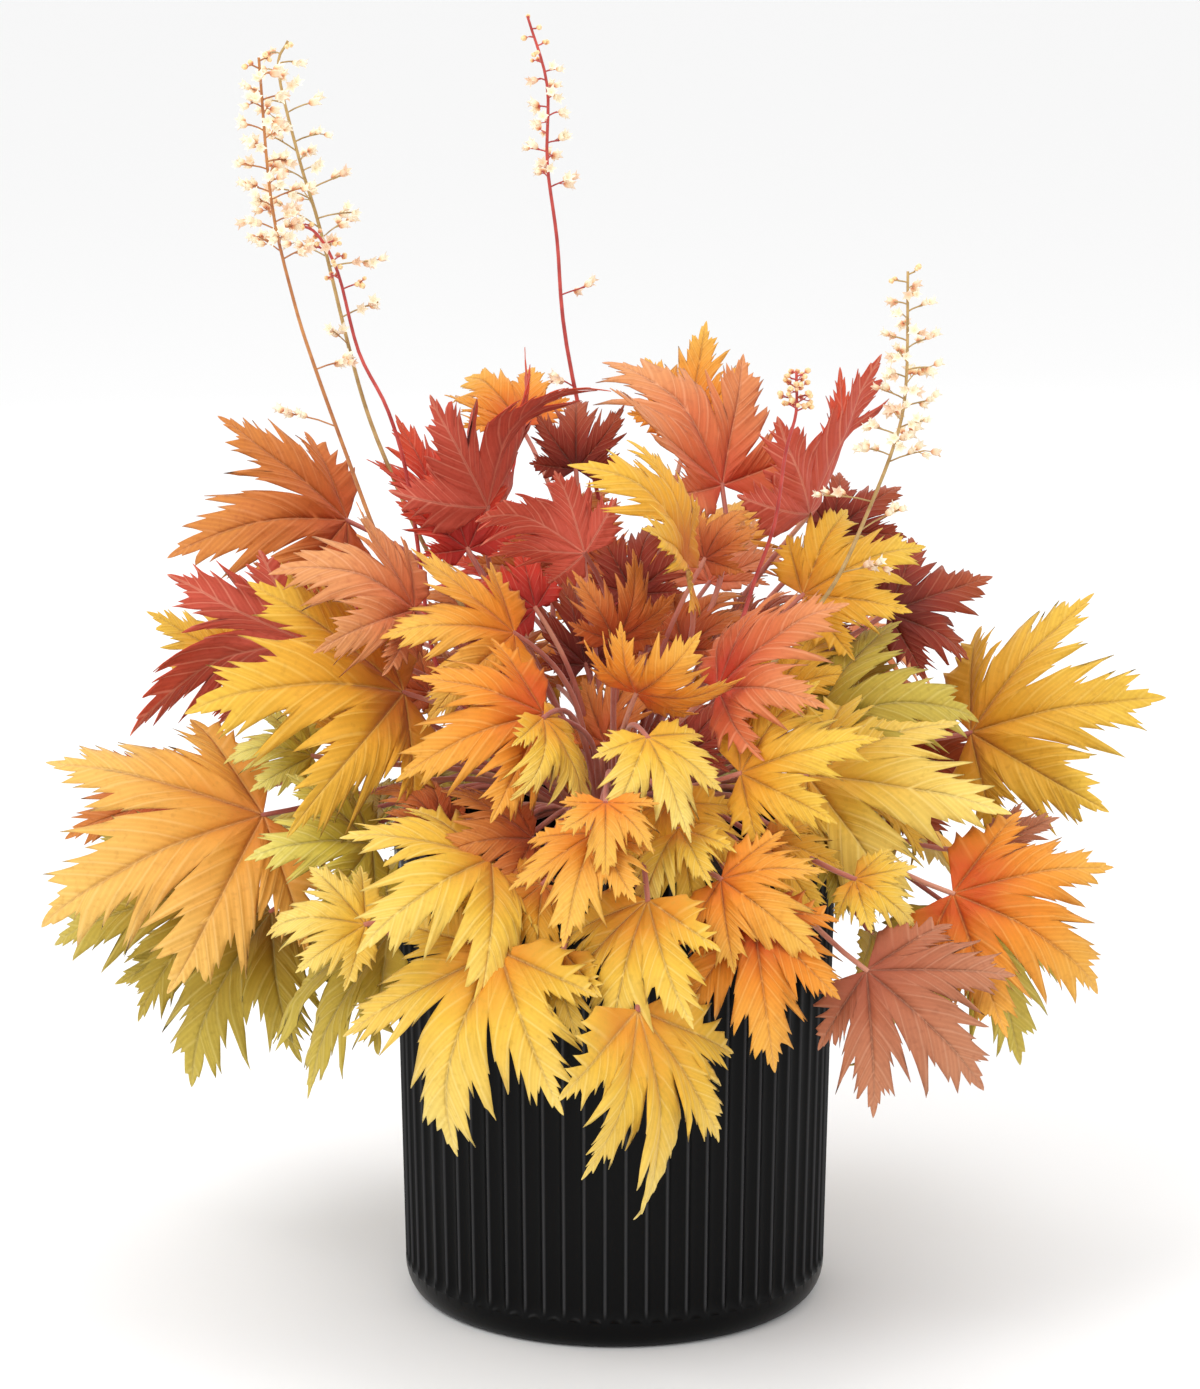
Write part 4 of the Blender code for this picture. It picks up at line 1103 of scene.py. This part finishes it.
petal_finishes = {}
for name, stops in {
    "bell": ((0.0, (0.62, 0.16, 0.07)), (0.16, (0.86, 0.52, 0.26)), (0.42, (0.93, 0.80, 0.54)),
             (0.95, (0.96, 0.90, 0.74))),
    "bud": ((0.0, (0.50, 0.06, 0.04)), (0.30, (0.86, 0.50, 0.20)), (0.75, (0.94, 0.76, 0.40)),
            (1.0, (0.70, 0.28, 0.14))),
}.items():
    finish, field, shader = new_finish("cream_" + name, 0.5, sheen=0.15)
    along = field.node("Attribute", {"attribute_name": "along"}, output=2)
    tint = field.node("Attribute", {"attribute_name": "own"}, output=2)
    colour = field.node("ValToRGB", {"stops": stops}, {"Fac": along})
    feed(finish, shader, "Base Color", colour.over(BLUSH, tint.between(0.72, 1.0) * 0.5))
    place = coordinates(field)
    feed(finish, shader, "Normal", bumps(field, 0.25, 0.0003, speckle(field, place, 1100.0)))
    petal_finishes[name] = finish

shapes = {"bell": flower_shape(BELL, True), "bud": flower_shape(BUD, False)}
sizes = {"bell": BELL_SIZE, "bud": BUD_SIZE}
for seed, (node, (points, start, longest)) in enumerate(FLOWER_STEMS.items()):
    colour, branchlets, flowers, bud_share, extras = BLOOMS[node]
    rng = random.Random(BLOOM_SEED + seed)
    points = [Vector(point) * CM for point in points]
    foot, leave = crown_exit(points[0])
    arrive = (points[1] - points[0]).normalized()
    low = stalk_route(foot, leave, points[0], arrive, STALK_STEPS)[:-1]
    high = smooth_route(points, STEM_STEPS_PER_POINT)
    route = low + high
    routes, borne = [], []
    growth = [(start + (1 - start) * (i + 0.5) / branchlets, i * GOLDEN_ANGLE, None)
              for i in range(branchlets)]
    growth += [(share, math.radians(turn), length * CM) for share, turn, length in extras]
    for share, turn, length in growth:
        root, _ = point_along(high, share)
        turn += rng.uniform(-0.3, 0.3)
        out = Vector((math.cos(turn), math.sin(turn), 0.0))
        rise = (share - start) / (1 - start)
        if length is None:
            length = CM * longest * (1 - 0.72 * rise) * rng.uniform(0.75, 1.15)
            count = max(1, round(flowers * (1 - 0.6 * rise)))
        else:
            count = flowers
        path, blooms = branchlet(root, out, length, count, rng)
        routes.append((path, [BRANCHLET_RADIUS] * len(path)))
        kind = "bud" if rise > bud_share else "bell"
        for base, neck, aim in blooms:
            routes.append(((base, neck), (PEDICEL_RADIUS, PEDICEL_RADIUS)))
            borne.append((kind, neck, aim))
    stem = rods("stem", [(route, taper(FLOWER_STEM_RADII, len(route)))], 2)
    pieces = [stem, rods("twigs", routes, 0)]
    for piece in pieces:
        piece.data.materials.append(stalk_finishes[colour])
        piece.data.shade_smooth()
    for kind in ("bell", "bud"):
        corners, faces = np.array(shapes[kind][0]), shapes[kind][1]
        placed, joined, along, own = [], [], [], []
        for each, neck, aim in borne:
            if each != kind:
                continue
            turned = np.array(aim.to_track_quat("Z", "Y").to_matrix())
            size = sizes[kind] * rng.uniform(0.8, 1.15)
            joined += [tuple(len(placed) + corner for corner in face) for face in faces]
            placed += (np.array(neck) + size * corners @ turned.T).tolist()
            along += corners[:, 2].tolist()
            own += [rng.random()] * len(corners)
        if not placed:
            continue
        mesh = bpy.data.meshes.new(kind + "s")
        mesh.from_pydata(placed, [], joined)
        mesh.attributes.new("along", "FLOAT", "POINT").data.foreach_set("value", along)
        mesh.attributes.new("own", "FLOAT", "POINT").data.foreach_set("value", own)
        mesh.materials.append(petal_finishes[kind])
        pieces.append(bpy.data.objects.new(kind + "s", mesh))
    for piece in pieces:
        scene.collection.objects.link(piece)
    made = join_pieces(pieces, "fine_" + node)
    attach(made, "root")
    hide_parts(node)
